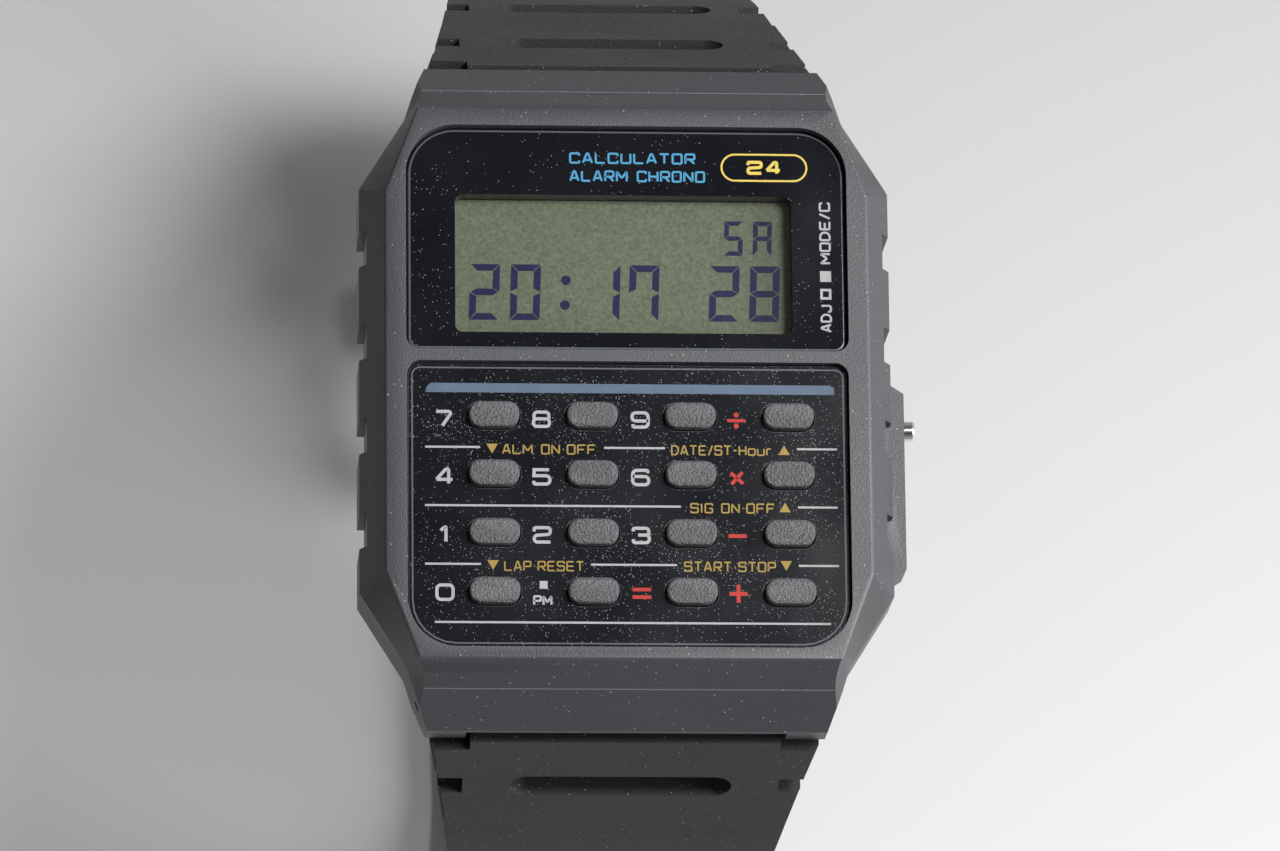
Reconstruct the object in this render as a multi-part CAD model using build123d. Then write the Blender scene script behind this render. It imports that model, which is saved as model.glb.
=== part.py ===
from build123d import *
import math
import os

# A calculator watch lying on its unbuckled, curved strap, face up.
# Millimetres. +Y points to 12 o'clock, +X to 3 o'clock, +Z out of the face.
# Heights are written as depths below the bezel's top face.

# Clearances
running_gap = 0.05
piece_gap = 0.1
strap_gap = 0.3
overrun = 1.0

# Case outline
case_length = 42.9
case_half_width = 16.7
side_end_run = 8.4
shoulder_run = 3.85
shoulder_step = 2.85
flank_slope = 1.54
bezel_side_step = 0.85
bezel_shoulder_step = 0.7
crease_run = 2.15
crease_step = 0.55
crease_depth = 1.8
end_step = 0.8
hood_draft = 1.4
end_depth = 4.2
slope_run = 3.7
case_depth = 7.2
flank_depth = 2.8
case_back_thickness = 1.0

# Strap hoods
hood_gap = 0.2
lug_round = 2.3
swing_out = 12.0
pivot_inset = 1.65
pivot_depth = 4.6

# Side grips and push-button guard
grip_count = 4
grip_pitch = 6.06
grip_length = 2.27
grip_cut = 0.45
grip_top_depth = 1.5
guard_reach = 0.9
guard_centre_y = -5.4
guard_length = 12.5
guard_top_depth = 3.7
guard_slope = 0.6

# Face recesses
recess_depth = 0.6
window_side_land = 1.31
window_top_land = 1.19
band_centre_y = 1.6275
band_width = 0.745
keypad_side_land = 1.36
keypad_bottom_land = 0.755
recess_large_round = 3.1
recess_small_round = 0.85
opening_corner_round = 0.3
ledge_width = 0.8
panel_thickness = 1.2
panel_gap = 0.06

# Liquid crystal display
aperture_width = 21.1
aperture_length = 8.6
aperture_centre_x = -0.15
mask_thickness = 0.15
lcd_side_margin = 1.65
lcd_end_margin = 1.58
lcd_thickness = 1.1
reflector_thickness = 0.15
reflector_margin = 1.3
contact_strip_thickness = 1.0

# Keys
key_width = 3.15
key_length = 1.6
key_round = 0.74
key_left_margin = 5.4
key_right_margin = 3.81
key_top_margin = 3.405
key_bottom_margin = 3.595
key_columns = 4
key_rows = 4
key_names = [
    "7", "8", "9", "divide", "4", "5", "6", "multiply",
    "1", "2", "3", "minus", "0", "point", "equals", "plus",
]
key_rise = 0.65
key_flange = 0.35
key_edge_round = 0.18
key_mat_thickness = 0.4
key_mat_margin = 0.7
dome_radius = 0.9
dome_rise = 0.35
contact_sheet_thickness = 0.2

# Cavity, frame and board
floor_thickness = 0.55
cavity_side_wall = 2.5
cavity_end_wall = 1.75
cavity_wall = 1.55
frame_wall = 0.9
frame_plate_thickness = 0.5
frame_back_gap = 0.15
lcd_opening_gap = 0.2
board_thickness = 0.6
button_notch_length = 3.0
button_notch_height = 2.6

# Battery and the parts beside it
battery_radius = 10.0
battery_thickness = 1.6
battery_room = 1.7
battery_drop = 0.45
insulator_thickness = 0.1
insulator_radius = 9.4
clamp_thickness = 0.25
clamp_width = 4.0
battery_contact_thickness = 0.12
battery_contact_width = 2.6
battery_contact_foot = 2.4
battery_contact_reach = 6.4
battery_contact_gap = 0.4
chip_size = 6.4
chip_thickness = 0.9
chip_x = -5.0
chip_room = 6.3
crystal_radius = 0.95
crystal_length = 6.0
crystal_x = 6.6
crystal_room = 3.1
coil_radius = 1.5
coil_height = 1.5
coil_x = 8.2
coil_room = 8.5
capacitor_width = 1.6
capacitor_length = 0.9
capacitor_height = 0.8
capacitor_count = 4
capacitor_pitch = 1.5
capacitor_side_room = 2.6
capacitor_room = 10.7
buzzer_radius = 6.0
buzzer_thickness = 0.3
buzzer_room = 7.9
buzzer_spring_radius = 0.9
buzzer_spring_wire = 0.11
buzzer_spring_turns = 4
buzzer_spring_x = 2.4
buzzer_spring_room = 7.3

# Back
back_lap_side = 1.4
back_lap_end = 2.4
back_corner_step = 1.35
back_side_step = 0.85
back_ear_room = 0.7
back_plate_step = 1.1
gasket_inset = 0.1
gasket_width = 0.5
gasket_thickness = 0.5
screw_radius = 0.5
screw_head_radius = 0.8
screw_head_thickness = 0.45
screw_length = 2.2
screw_corner_inset = 0.9
screw_end_inset = 0.95
screw_slot_width = 0.25
screw_slot_depth = 0.2
back_edge_bevel = 0.3

# Push buttons
button_depth = 5.3
button_spread = 3.6
button_radius = 0.65
button_stem_radius = 0.3
mode_proud = 0.8
adjust_sunk = 0.1
button_wall = 0.8
button_head_room = 1.4
button_stem_entry = 0.5
button_tip_round = 0.2
button_spring_radius = 0.48
button_spring_wire = 0.06
button_spring_turns = 5
seal_inset = 0.5
seal_wire = 0.09
seal_groove = 0.15
clip_radius = 0.75
clip_thickness = 0.2
clip_groove = 0.08
clip_gap = 0.05
contact_leaf_room = 1.5
contact_leaf_thickness = 0.15
contact_leaf_width = 1.6
contact_leaf_drop = 1.3

# Strap
bar_radius = 0.45
bar_tip_radius = 0.3
bar_tip_reach = 0.9
strap_thickness = 2.2
cheek_width = 2.5
strap_shoulder_inset = 0.3
strap_shoulder_start = 2.7
strap_mid_taper = 3.0
strap_mid_length = 15.0
strap_end_taper = 3.4
long_lead_length = 13.0
long_lead_angle = 73.0
long_side_radius = 108.0
long_turn_radius = 16.0
long_turn_angle = 90.0
long_tail_length = 18.0
short_lead_length = 16.0
short_lead_angle = 58.0
short_side_radius = 51.0
short_turn_radius = 13.0
short_turn_angle = 75.0
short_tail_length = 9.5
strap_knuckle_radius = 0.95
strap_pad_start = 1.7
strap_pad_length = 12.4
strap_pad_rise = 0.5
strap_pad_margin = 0.5
slot_length = 14.0
slot_width = 2.4
slot_count = 2
slot_station = 7.3
slot_pitch = 11.0
side_notch_depth = 1.5
side_notch_length = 1.9
hole_length = 3.2
hole_width = 2.0
hole_station = 46.5
hole_pitch = 5.0
hole_count = 8
tip_radius = 9.6

# Buckle and keeper
keeper_station = 5.0
keeper_length = 4.0
keeper_wall = 1.1
keeper_room = 2.6
keeper_slack = 0.5
buckle_knuckle_radius = 1.3
buckle_pin_radius = 0.5
buckle_bar = 1.6
buckle_thickness = 2.0
buckle_rear = 1.0
buckle_reach = 9.5
tongue_width = 1.6
tongue_thickness = 0.8
tongue_eye_radius = 1.15
tongue_gap = 0.1

# Places worked out from the sizes above
side_half_length = case_length / 2 - side_end_run
shoulder_y = case_length / 2 - shoulder_run
shoulder_half_width = case_half_width - shoulder_step
crease_y = case_length / 2 - crease_run
crease_half_width = shoulder_half_width - crease_step
end_half_width = crease_half_width - end_step
slope_start_y = case_length / 2 - slope_run
bezel_half_width = case_half_width - flank_slope
bezel_side_half_length = side_half_length - bezel_side_step
bezel_shoulder_half_width = shoulder_half_width - bezel_shoulder_step
window_recess_width = 2 * (bezel_half_width - window_side_land)
window_bottom_y = band_centre_y + band_width / 2
window_top_y = slope_start_y - window_top_land
window_recess_length = window_top_y - window_bottom_y
window_centre_y = (window_top_y + window_bottom_y) / 2
keypad_recess_width = 2 * (bezel_half_width - keypad_side_land)
keypad_top_y = band_centre_y - band_width / 2
keypad_bottom_y = keypad_bottom_land - slope_start_y
keypad_recess_length = keypad_top_y - keypad_bottom_y
keypad_centre_y = (keypad_top_y + keypad_bottom_y) / 2
lcd_width = window_recess_width - 2 * lcd_side_margin
lcd_length = window_recess_length - 2 * lcd_end_margin
aperture_centre_y = window_bottom_y + lcd_end_margin + aperture_length / 2
key_pitch_x = (keypad_recess_width - key_left_margin - key_right_margin) / (key_columns - 1)
key_pitch_y = (keypad_recess_length - key_top_margin - key_bottom_margin) / (key_rows - 1)
key_left_x = key_left_margin - keypad_recess_width / 2
key_top_y = keypad_top_y - key_top_margin
lead_drop = long_lead_length * math.sin(math.radians(long_lead_angle))
side_drop = long_side_radius * math.cos(math.radians(long_lead_angle))
pivot_height = lead_drop + side_drop + long_turn_radius + strap_thickness / 2
top = pivot_height + pivot_depth
pivot_y = case_length / 2 - pivot_inset
cavity_half_width = case_half_width - cavity_side_wall
cavity_half_length = pivot_y - strap_knuckle_radius - hood_gap - cavity_end_wall
strap_tang_width = 2 * (end_half_width - cheek_width - strap_gap)
strap_shoulder_width = 2 * (end_half_width - strap_shoulder_inset)
strap_mid_width = strap_shoulder_width - strap_mid_taper
strap_end_width = strap_mid_width - strap_end_taper
battery_centre_y = battery_radius + battery_room - cavity_half_length
chip_y = cavity_half_length - chip_room
crystal_y = cavity_half_length - crystal_room
coil_y = cavity_half_length - coil_room
capacitor_x = cavity_half_width - capacitor_side_room
capacitor_y = cavity_half_length - capacitor_room
buzzer_y = cavity_half_length - buzzer_room
buzzer_spring_y = cavity_half_length - buzzer_spring_room
back_half_width = cavity_half_width + back_lap_side
back_half_length = cavity_half_length + back_lap_end
back_corner_half_width = shoulder_half_width - back_corner_step
back_side_half_length = side_half_length - back_side_step
back_ear_inner_x = strap_tang_width / 2 + back_ear_room
back_plate_half_length = back_half_length - back_plate_step
screw_x = back_corner_half_width - screw_corner_inset
screw_y = back_half_length - screw_end_inset
mode_y = guard_centre_y + button_spread
adjust_y = guard_centre_y - button_spread
mode_reach = case_half_width + guard_reach + mode_proud
adjust_reach = case_half_width + guard_reach - adjust_sunk
button_head_inner = cavity_half_width + button_wall + button_head_room
button_stem_inner = cavity_half_width - button_stem_entry
seal_x = button_head_inner + seal_inset
contact_leaf_x = cavity_half_width - contact_leaf_room
pivot_z = pivot_height
panel_top = top - recess_depth
panel_bottom = panel_top - panel_thickness
cavity_top = panel_bottom - floor_thickness
case_bottom = top - case_depth
lcd_top = panel_bottom - mask_thickness
lcd_bottom = lcd_top - lcd_thickness
contact_sheet_bottom = lcd_bottom - contact_strip_thickness + frame_plate_thickness
board_top = contact_sheet_bottom - frame_plate_thickness
board_bottom = board_top - board_thickness
battery_top = board_bottom - battery_drop
battery_bottom = battery_top - battery_thickness
mat_bottom = contact_sheet_bottom + contact_sheet_thickness
mat_top = mat_bottom + key_mat_thickness
button_height = top - button_depth


def placed_box(low_x, high_x, low_y, high_y, low_z, high_z):
    centre = ((low_x + high_x) / 2, (low_y + high_y) / 2, (low_z + high_z) / 2)
    return Pos(*centre) * Box(high_x - low_x, high_y - low_y, high_z - low_z)


def centred_box(width, length, low_z, high_z, x=0, y=0):
    return Pos(x, y, (low_z + high_z) / 2) * Box(width, length, high_z - low_z)


def upright(radius, low_z, high_z, x=0, y=0):
    return Pos(x, y, (low_z + high_z) / 2) * Cylinder(radius, high_z - low_z)


def along_x(radius, low_x, high_x, y, z):
    return Pos((low_x + high_x) / 2, y, z) * Rot(0, 90, 0) * Cylinder(radius, high_x - low_x)


def slab(sketch, low_z, high_z):
    return extrude(Pos(0, 0, low_z) * sketch, amount=high_z - low_z)


def rounded_slab(width, length, radius, low_z, high_z, x=0, y=0):
    return slab(Pos(x, y) * RectangleRounded(width, length, radius), low_z, high_z)


def helix_spring(mean_radius, wire_radius, turns, length):
    # One unbroken wire wound along +Z from the origin.
    path = Helix(pitch=length / turns, height=length, radius=mean_radius)
    section = Plane(origin=path @ 0, z_dir=path % 0) * Circle(wire_radius)
    return sweep(section, path=path)


def four_fold(quarter):
    # Mirrors the first quadrant's points into a whole outline.
    points = [(x, -y) for x, y in quarter[::-1]] + quarter
    points += [(-x, y) for x, y in quarter[::-1]] + [(-x, -y) for x, y in quarter]
    return Polygon(*points, align=None)


def case_outline(half_width, half_length, shoulder_half_width, draft):
    return four_fold([
        (half_width, half_length),
        (shoulder_half_width, shoulder_y),
        (crease_half_width - draft, crease_y),
        (end_half_width - draft, case_length / 2),
    ])


def cavity_outline(inset):
    # Follows the case's diagonal sides at an even wall.
    run_x = case_half_width - shoulder_half_width
    run_y = shoulder_y - side_half_length
    slope = math.hypot(run_x, run_y)
    reach = (run_y * case_half_width + run_x * side_half_length) / slope - cavity_wall - inset
    half_width = cavity_half_width - inset
    half_length = cavity_half_length - inset
    corner_y = (reach * slope - run_y * half_width) / run_x
    corner_x = (reach * slope - run_x * half_length) / run_y
    return four_fold([(half_width, corner_y), (corner_x, half_length)])


def recess_outline(width, length, centre_y, inset, large_side):
    # A rectangle with one pair of wide corners, towards large_side along Y.
    shape = Pos(0, centre_y) * Rectangle(width - 2 * inset, length - 2 * inset)
    corners = shape.vertices().sort_by(Axis.Y)
    wide, tight = (corners[2:], corners[:2]) if large_side > 0 else (corners[:2], corners[2:])
    shape = fillet(wide, recess_large_round - inset)
    corners = shape.vertices().sort_by(Axis.Y)
    tight = corners[:2] if large_side > 0 else corners[-2:]
    return fillet(tight, max(recess_small_round - inset, opening_corner_round))


def window_outline(inset):
    width = window_recess_width
    return recess_outline(width, window_recess_length, window_centre_y, inset, 1)


def keypad_outline(inset):
    width = keypad_recess_width
    return recess_outline(width, keypad_recess_length, keypad_centre_y, inset, -1)


def both_ends(shape):
    return shape + mirror(shape, about=Plane.XZ)


def side_prism(points, half_width):
    # Points are (y, z) and the prism runs evenly to both sides along X.
    return extrude(Plane.YZ * Polygon(*points, align=None), amount=half_width, both=True)


def case_shell():
    upper = case_outline(bezel_half_width, bezel_side_half_length, bezel_shoulder_half_width,
                         hood_draft)
    outer = case_outline(case_half_width, side_half_length, shoulder_half_width, 0)
    flank = loft([Pos(0, 0, top) * upper, Pos(0, 0, top - flank_depth) * outer], ruled=True)
    block = flank + slab(outer, case_bottom, top - flank_depth)
    half_length = case_length / 2
    profile = [
        (-half_length, case_bottom), (-half_length, top - end_depth),
        (-crease_y, top - crease_depth), (-slope_start_y, top),
        (slope_start_y, top), (crease_y, top - crease_depth),
        (half_length, top - end_depth), (half_length, case_bottom),
    ]
    return block & side_prism(profile, case_half_width)


def hood_pocket():
    # The strap's end turns in this pocket between the cheeks.
    radius = strap_knuckle_radius + hood_gap
    half_width = strap_tang_width / 2 + strap_gap
    angle = math.radians(short_lead_angle - swing_out)
    lip = (pivot_y + radius * math.sin(angle), pivot_z + radius * math.cos(angle))
    end_y = case_length / 2 + overrun
    drop = (end_y - lip[0]) * math.tan(angle)
    points = [
        (pivot_y - radius, case_bottom - overrun), (pivot_y - radius, pivot_z),
        lip, (end_y, lip[1] - drop), (end_y, case_bottom - overrun),
    ]
    wedge = side_prism(points, half_width)
    barrel = along_x(radius, -half_width, half_width, pivot_y, pivot_z)
    return wedge + barrel


def lug_corner():
    # Rounds the lug below and outside the spring bar.
    far = case_length / 2 + overrun
    corner = placed_box(-case_half_width, case_half_width, pivot_y, far,
                        case_bottom - overrun, pivot_z)
    return corner - along_x(lug_round, -case_half_width - overrun, case_half_width + overrun,
                            pivot_y, pivot_z)


def grip_cuts():
    cuts = []
    low = case_bottom - overrun
    high = top - grip_top_depth
    inner = case_half_width - grip_cut
    for index in range(grip_count):
        y = (index - (grip_count - 1) / 2) * grip_pitch
        for side in (-1, 1):
            x = side * (inner + overrun / 2)
            cuts.append(centred_box(overrun, grip_length, low, high, x, y))
    return cuts


def guard():
    low_y = guard_centre_y - guard_length / 2
    high_y = guard_centre_y + guard_length / 2
    reach = case_half_width + guard_reach
    root = case_half_width - grip_cut - overrun
    points = [
        (root, low_y), (case_half_width, low_y), (reach, low_y + guard_slope),
        (reach, high_y - guard_slope), (case_half_width, high_y), (root, high_y),
    ]
    return slab(Polygon(*points, align=None), case_bottom, top - guard_top_depth)


def button_bores(y):
    # A wide bore for the head and its spring, and a fine one for the stem.
    shelf = cavity_half_width + button_wall
    far = case_half_width + guard_reach + overrun
    head = along_x(button_radius + running_gap, shelf, far, y, button_height)
    stem = along_x(button_stem_radius + running_gap, cavity_half_width - overrun, shelf, y,
                   button_height)
    return head + stem


def screw_places():
    return [(x, y) for x in (-screw_x, screw_x) for y in (-screw_y, screw_y)]


def case_body():
    body = case_shell()
    body -= slab(window_outline(0), lcd_top, top + overrun)
    body -= slab(keypad_outline(0), panel_bottom, top + overrun)
    body -= slab(window_outline(ledge_width), cavity_top - overrun, lcd_top)
    body -= slab(keypad_outline(ledge_width), cavity_top - overrun, panel_bottom)
    body -= slab(cavity_outline(0), case_bottom - overrun, cavity_top)
    body -= both_ends(hood_pocket())
    body -= both_ends(lug_corner())
    for cut in grip_cuts():
        body -= cut
    body += guard()
    body -= slab(gasket_ring(piece_gap), case_bottom - overrun, case_bottom + gasket_thickness)
    for y in (mode_y, adjust_y):
        body -= button_bores(y)
    for x, y in screw_places():
        body -= upright(screw_radius, case_bottom - overrun, case_bottom + screw_length, x, y)
    reach = case_half_width
    for side in (-1, 1):
        body -= along_x(bar_tip_radius + running_gap, -reach, reach, side * pivot_y, pivot_z)
    return body


def gasket_ring(grow):
    outer = cavity_outline(-gasket_inset - gasket_width - grow)
    return outer - cavity_outline(-gasket_inset + grow)



def display_window():
    return slab(window_outline(panel_gap), panel_bottom, panel_top)


def key_places():
    rows = [key_top_y - row * key_pitch_y for row in range(key_rows)]
    columns = [key_left_x + column * key_pitch_x for column in range(key_columns)]
    return [(x, y) for y in rows for x in columns]


def keypad_panel():
    panel = slab(keypad_outline(panel_gap), panel_bottom, panel_top)
    width = key_width + 2 * piece_gap
    length = key_length + 2 * piece_gap
    for x, y in key_places():
        panel -= rounded_slab(width, length, key_round + piece_gap, panel_bottom - overrun,
                              panel_top + overrun, x, y)
    return panel


def key(x, y):
    flange_top = panel_bottom - piece_gap
    flange_bottom = mat_top + dome_rise
    key_top = panel_top + key_rise
    cap = rounded_slab(key_width, key_length, key_round, flange_bottom, key_top, x, y)
    cap = fillet(cap.faces().sort_by(Axis.Z)[-1].edges(), key_edge_round)
    width = key_width + 2 * key_flange
    length = key_length + 2 * key_flange
    return cap + rounded_slab(width, length, key_round, flange_bottom, flange_top, x, y)


def key_mat():
    mat = slab(keypad_outline(ledge_width + key_mat_margin), mat_bottom, mat_top)
    for x, y in key_places():
        mat += upright(dome_radius, mat_top, mat_top + dome_rise, x, y)
    return mat


def key_contact_sheet():
    sheet = keypad_outline(ledge_width + key_mat_margin)
    return slab(sheet, contact_sheet_bottom, mat_bottom)


def display_mask():
    aperture = Pos(aperture_centre_x, aperture_centre_y) * Rectangle(aperture_width, aperture_length)
    return slab(window_outline(panel_gap) - aperture, lcd_top, panel_bottom)


def lcd_glass():
    return centred_box(lcd_width, lcd_length, lcd_bottom, lcd_top, 0, window_centre_y)


def lcd_reflector():
    length = lcd_length - 2 * reflector_margin
    low = lcd_bottom - reflector_thickness
    return centred_box(lcd_width, length, low, lcd_bottom, 0, window_centre_y)


def contact_strip(side):
    width = reflector_margin - piece_gap
    y = window_centre_y + side * (lcd_length - width) / 2
    return centred_box(lcd_width, width, board_top, lcd_bottom, 0, y)


def module_frame():
    outer = cavity_outline(piece_gap)
    inner = cavity_outline(piece_gap + frame_wall)
    low = case_bottom + frame_back_gap
    frame = slab(outer - inner, low, cavity_top)
    frame += slab(outer, board_top, contact_sheet_bottom)
    width = lcd_width + 2 * lcd_opening_gap
    length = lcd_length + 2 * lcd_opening_gap
    frame -= centred_box(width, length, board_top - overrun, cavity_top, 0, window_centre_y)
    high = button_height + button_notch_height / 2
    for y in (mode_y, adjust_y):
        x = cavity_half_width - frame_wall
        frame -= centred_box(2 * frame_wall, button_notch_length, low - overrun, high, x, y)
    return frame


def circuit_board():
    outline = cavity_outline(2 * piece_gap + frame_wall)
    return slab(outline, board_bottom, board_top)


def insulator():
    sheet = upright(insulator_radius, board_bottom - insulator_thickness, board_bottom,
                    0, battery_centre_y)
    length = battery_contact_width + 2 * battery_contact_gap
    far = battery_contact_reach + battery_contact_gap
    return sheet - placed_box(-battery_contact_foot - battery_contact_gap, far,
                              battery_centre_y - length / 2, battery_centre_y + length / 2,
                              board_bottom - insulator_thickness - overrun,
                              board_bottom + overrun)


def battery():
    rim = upright(battery_radius, battery_bottom, battery_top, 0, battery_centre_y)
    return fillet(rim.edges(), insulator_thickness)


def battery_contact():
    # A leaf soldered to the board, sprung down onto the battery's top.
    thickness = battery_contact_thickness
    foot = battery_contact_foot
    tip = battery_contact_reach
    heel = tip - foot / 2
    points = [
        (-foot, board_bottom), (0, board_bottom), (heel, battery_top + thickness),
        (tip, battery_top + thickness), (tip, battery_top), (heel, battery_top),
        (0, board_bottom - thickness), (-foot, board_bottom - thickness),
    ]
    leaf = Plane.XZ * Polygon(*points, align=None)
    return Pos(0, battery_centre_y) * extrude(leaf, amount=battery_contact_width / 2, both=True)


def battery_clamp():
    # A strap under the battery, with a leg at each end up to the board.
    inner = battery_radius + piece_gap
    outer = inner + clamp_thickness
    low = battery_bottom - clamp_thickness
    y = battery_centre_y
    clamp = centred_box(2 * outer, clamp_width, low, battery_bottom, 0, y)
    for side in (-1, 1):
        x = side * (inner + outer) / 2
        clamp += centred_box(clamp_thickness, clamp_width, low, board_bottom, x, y)
    return clamp


def chip():
    return centred_box(chip_size, chip_size, board_bottom - chip_thickness, board_bottom,
                       chip_x, chip_y)


def crystal():
    half = crystal_length / 2
    return along_x(crystal_radius, crystal_x - half, crystal_x + half, crystal_y,
                   board_bottom - crystal_radius)


def coil():
    core = upright(coil_radius / 3, board_bottom - coil_height, board_bottom, coil_x, coil_y)
    flange = coil_height / 6
    core += upright(coil_radius, board_bottom - flange, board_bottom, coil_x, coil_y)
    low = board_bottom - coil_height
    core += upright(coil_radius, low, low + flange, coil_x, coil_y)
    winding = coil_radius - flange
    return core + upright(winding, low + flange, board_bottom - flange, coil_x, coil_y)


def capacitors():
    low = board_bottom - capacitor_height
    places = [capacitor_y + index * capacitor_pitch for index in range(capacitor_count)]
    return Compound([
        centred_box(capacitor_width, capacitor_length, low, board_bottom, capacitor_x, y)
        for y in places
    ])


def buzzer_disc():
    return upright(buzzer_radius, case_bottom, case_bottom + buzzer_thickness, 0, buzzer_y)


def buzzer_spring():
    low = case_bottom + buzzer_thickness + buzzer_spring_wire
    length = board_bottom - buzzer_spring_wire - low
    wire = helix_spring(buzzer_spring_radius, buzzer_spring_wire, buzzer_spring_turns, length)
    return Pos(buzzer_spring_x, buzzer_spring_y, low) * wire


def back_gasket():
    return slab(gasket_ring(0), case_bottom, case_bottom + gasket_thickness)


def case_back():
    outline = four_fold([
        (back_half_width, back_side_half_length),
        (back_corner_half_width, back_half_length),
        (back_ear_inner_x, back_half_length),
        (back_ear_inner_x, back_plate_half_length),
    ])
    low = case_bottom - case_back_thickness
    plate = slab(outline, low, case_bottom)
    plate = chamfer(plate.faces().sort_by(Axis.Z)[0].edges(), back_edge_bevel)
    for x, y in screw_places():
        plate -= upright(screw_radius + running_gap, low - overrun, case_bottom + overrun, x, y)
        plate -= upright(screw_head_radius + running_gap, low - overrun,
                         low + screw_head_thickness, x, y)
    return plate


def back_screws():
    low = case_bottom - case_back_thickness
    screws = []
    for x, y in screw_places():
        screw = upright(screw_head_radius, low, low + screw_head_thickness, x, y)
        screw += upright(screw_radius, low, case_bottom + screw_length, x, y)
        slot = centred_box(3 * screw_head_radius, screw_slot_width, low - overrun,
                           low + screw_slot_depth, x, y)
        screws.append(screw - slot)
    return Compound(screws)


def ring_x(outer_radius, inner_radius, low_x, high_x, y):
    ring = along_x(outer_radius, low_x, high_x, y, button_height)
    return ring - along_x(inner_radius, low_x - overrun, high_x + overrun, y, button_height)


def clip_span():
    far = cavity_half_width - clip_gap
    return far - clip_thickness, far


def push_button(y, reach):
    head = along_x(button_radius, button_head_inner, reach, y, button_height)
    head = fillet(head.faces().sort_by(Axis.X)[-1].edges(), button_tip_round)
    stem = along_x(button_stem_radius, button_stem_inner, button_head_inner, y, button_height)
    button = head + stem
    half = seal_wire + clip_gap
    button -= ring_x(button_radius + overrun, button_radius - seal_groove, seal_x - half,
                     seal_x + half, y)
    low, high = clip_span()
    return button - ring_x(button_stem_radius + overrun, button_stem_radius - clip_groove,
                           low, high, y)


def button_seal(y):
    mean_radius = button_radius - seal_groove + seal_wire
    return Pos(seal_x, y, button_height) * Rot(0, 90, 0) * Torus(mean_radius, seal_wire)


def button_clip(y):
    low, high = clip_span()
    ring = ring_x(clip_radius, button_stem_radius - clip_groove, low, high, y)
    slot = button_stem_radius - clip_groove
    return ring - placed_box(low - overrun, high + overrun, y - slot, y + slot,
                             button_height - clip_radius - overrun, button_height)


def button_spring(y):
    shelf = cavity_half_width + button_wall
    low = shelf + button_spring_wire
    length = button_head_inner - button_spring_wire - low
    wire = helix_spring(button_spring_radius, button_spring_wire, button_spring_turns, length)
    return Pos(low, y, button_height) * Rot(0, 90, 0) * wire


def button_contacts():
    leaves = []
    for y in (mode_y, adjust_y):
        x = contact_leaf_x
        leaves.append(centred_box(contact_leaf_thickness, contact_leaf_width,
                                  board_bottom - contact_leaf_drop, board_bottom, x, y))
    return Compound(leaves)


def spring_bar(side):
    # The tube turns inside the strap and its two sprung tips sit in the lugs.
    half = strap_tang_width / 2
    y = side * pivot_y
    tube = along_x(bar_radius, -half, half, y, pivot_z)
    reach = half + strap_gap + bar_tip_reach
    tips = [along_x(bar_tip_radius, end * half if end > 0 else -reach,
                    reach if end > 0 else -half, y, pivot_z) for end in (-1, 1)]
    return Compound([tube] + tips)


def strap_path(lead_angle, lead_length, side_radius, turn_radius, turn_angle, tail_length):
    # The middle line of a strap half, from its shoulders, on the 12 o'clock side.
    angle = math.radians(lead_angle)
    start = (pivot_y + strap_shoulder_start * math.cos(angle),
             pivot_z - strap_shoulder_start * math.sin(angle))
    end = (pivot_y + lead_length * math.cos(angle),
           pivot_z - lead_length * math.sin(angle))
    lead = Line(start, end)
    side = JernArc(lead @ 1, lead % 1, side_radius, lead_angle - 90.0)
    turn = JernArc(side @ 1, side % 1, turn_radius, -turn_angle)
    tail = Line(turn @ 1, (turn @ 1) + (turn % 1) * tail_length)
    return Wire([Plane.YZ.from_local_coords(edge) for edge in (lead, side, turn, tail)])


def station_plane(path, station):
    # X across the strap, Z along it and -Y out of its outer face.
    share = (station - strap_shoulder_start) / path.length
    return Plane(origin=path.position_at(share), x_dir=(1, 0, 0), z_dir=path.tangent_at(share))


def strap_band(path):
    end_station = strap_shoulder_start + path.length
    widths = [
        (strap_shoulder_start, strap_shoulder_width),
        (strap_mid_length, strap_mid_width),
        (end_station, strap_end_width),
    ]
    sections = [station_plane(path, station) * Rectangle(width, strap_thickness)
                for station, width in widths]
    return sweep(sections=sections, path=path, multisection=True)


def strap_pad(path):
    # A raised field on the outer face, as far as the first step.
    length = strap_pad_length - strap_shoulder_start
    run = strap_mid_length - strap_shoulder_start
    taper = (strap_shoulder_width - strap_mid_width) * length / run
    near = strap_shoulder_width / 2 - strap_pad_margin / 2
    far = near - taper / 2
    neck = strap_tang_width / 2
    entry = strap_shoulder_start - strap_pad_start
    field = Polygon((-near, 0), (-neck, 0), (-neck, -entry), (neck, -entry), (neck, 0), (near, 0),
                    (far, length), (-far, length), align=None)
    base = station_plane(path, strap_shoulder_start)
    face = Plane(origin=base.origin, x_dir=(1, 0, 0), z_dir=-base.y_dir)
    pad = extrude(Pos(0, 0, strap_thickness / 2 - strap_pad_margin / 2) * field,
                  amount=strap_pad_rise + strap_pad_margin / 2)
    return face * pad


def strap_tang(path):
    # The narrow end that goes under the hood and turns on the spring bar.
    half = strap_tang_width / 2
    knuckle = along_x(strap_knuckle_radius, -half, half, pivot_y, pivot_z)
    base = station_plane(path, strap_shoulder_start)
    length = strap_shoulder_start
    neck = base * (Pos(0, 0, -length / 2) * Box(strap_tang_width, 2 * strap_knuckle_radius, length))
    return knuckle + neck


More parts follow.
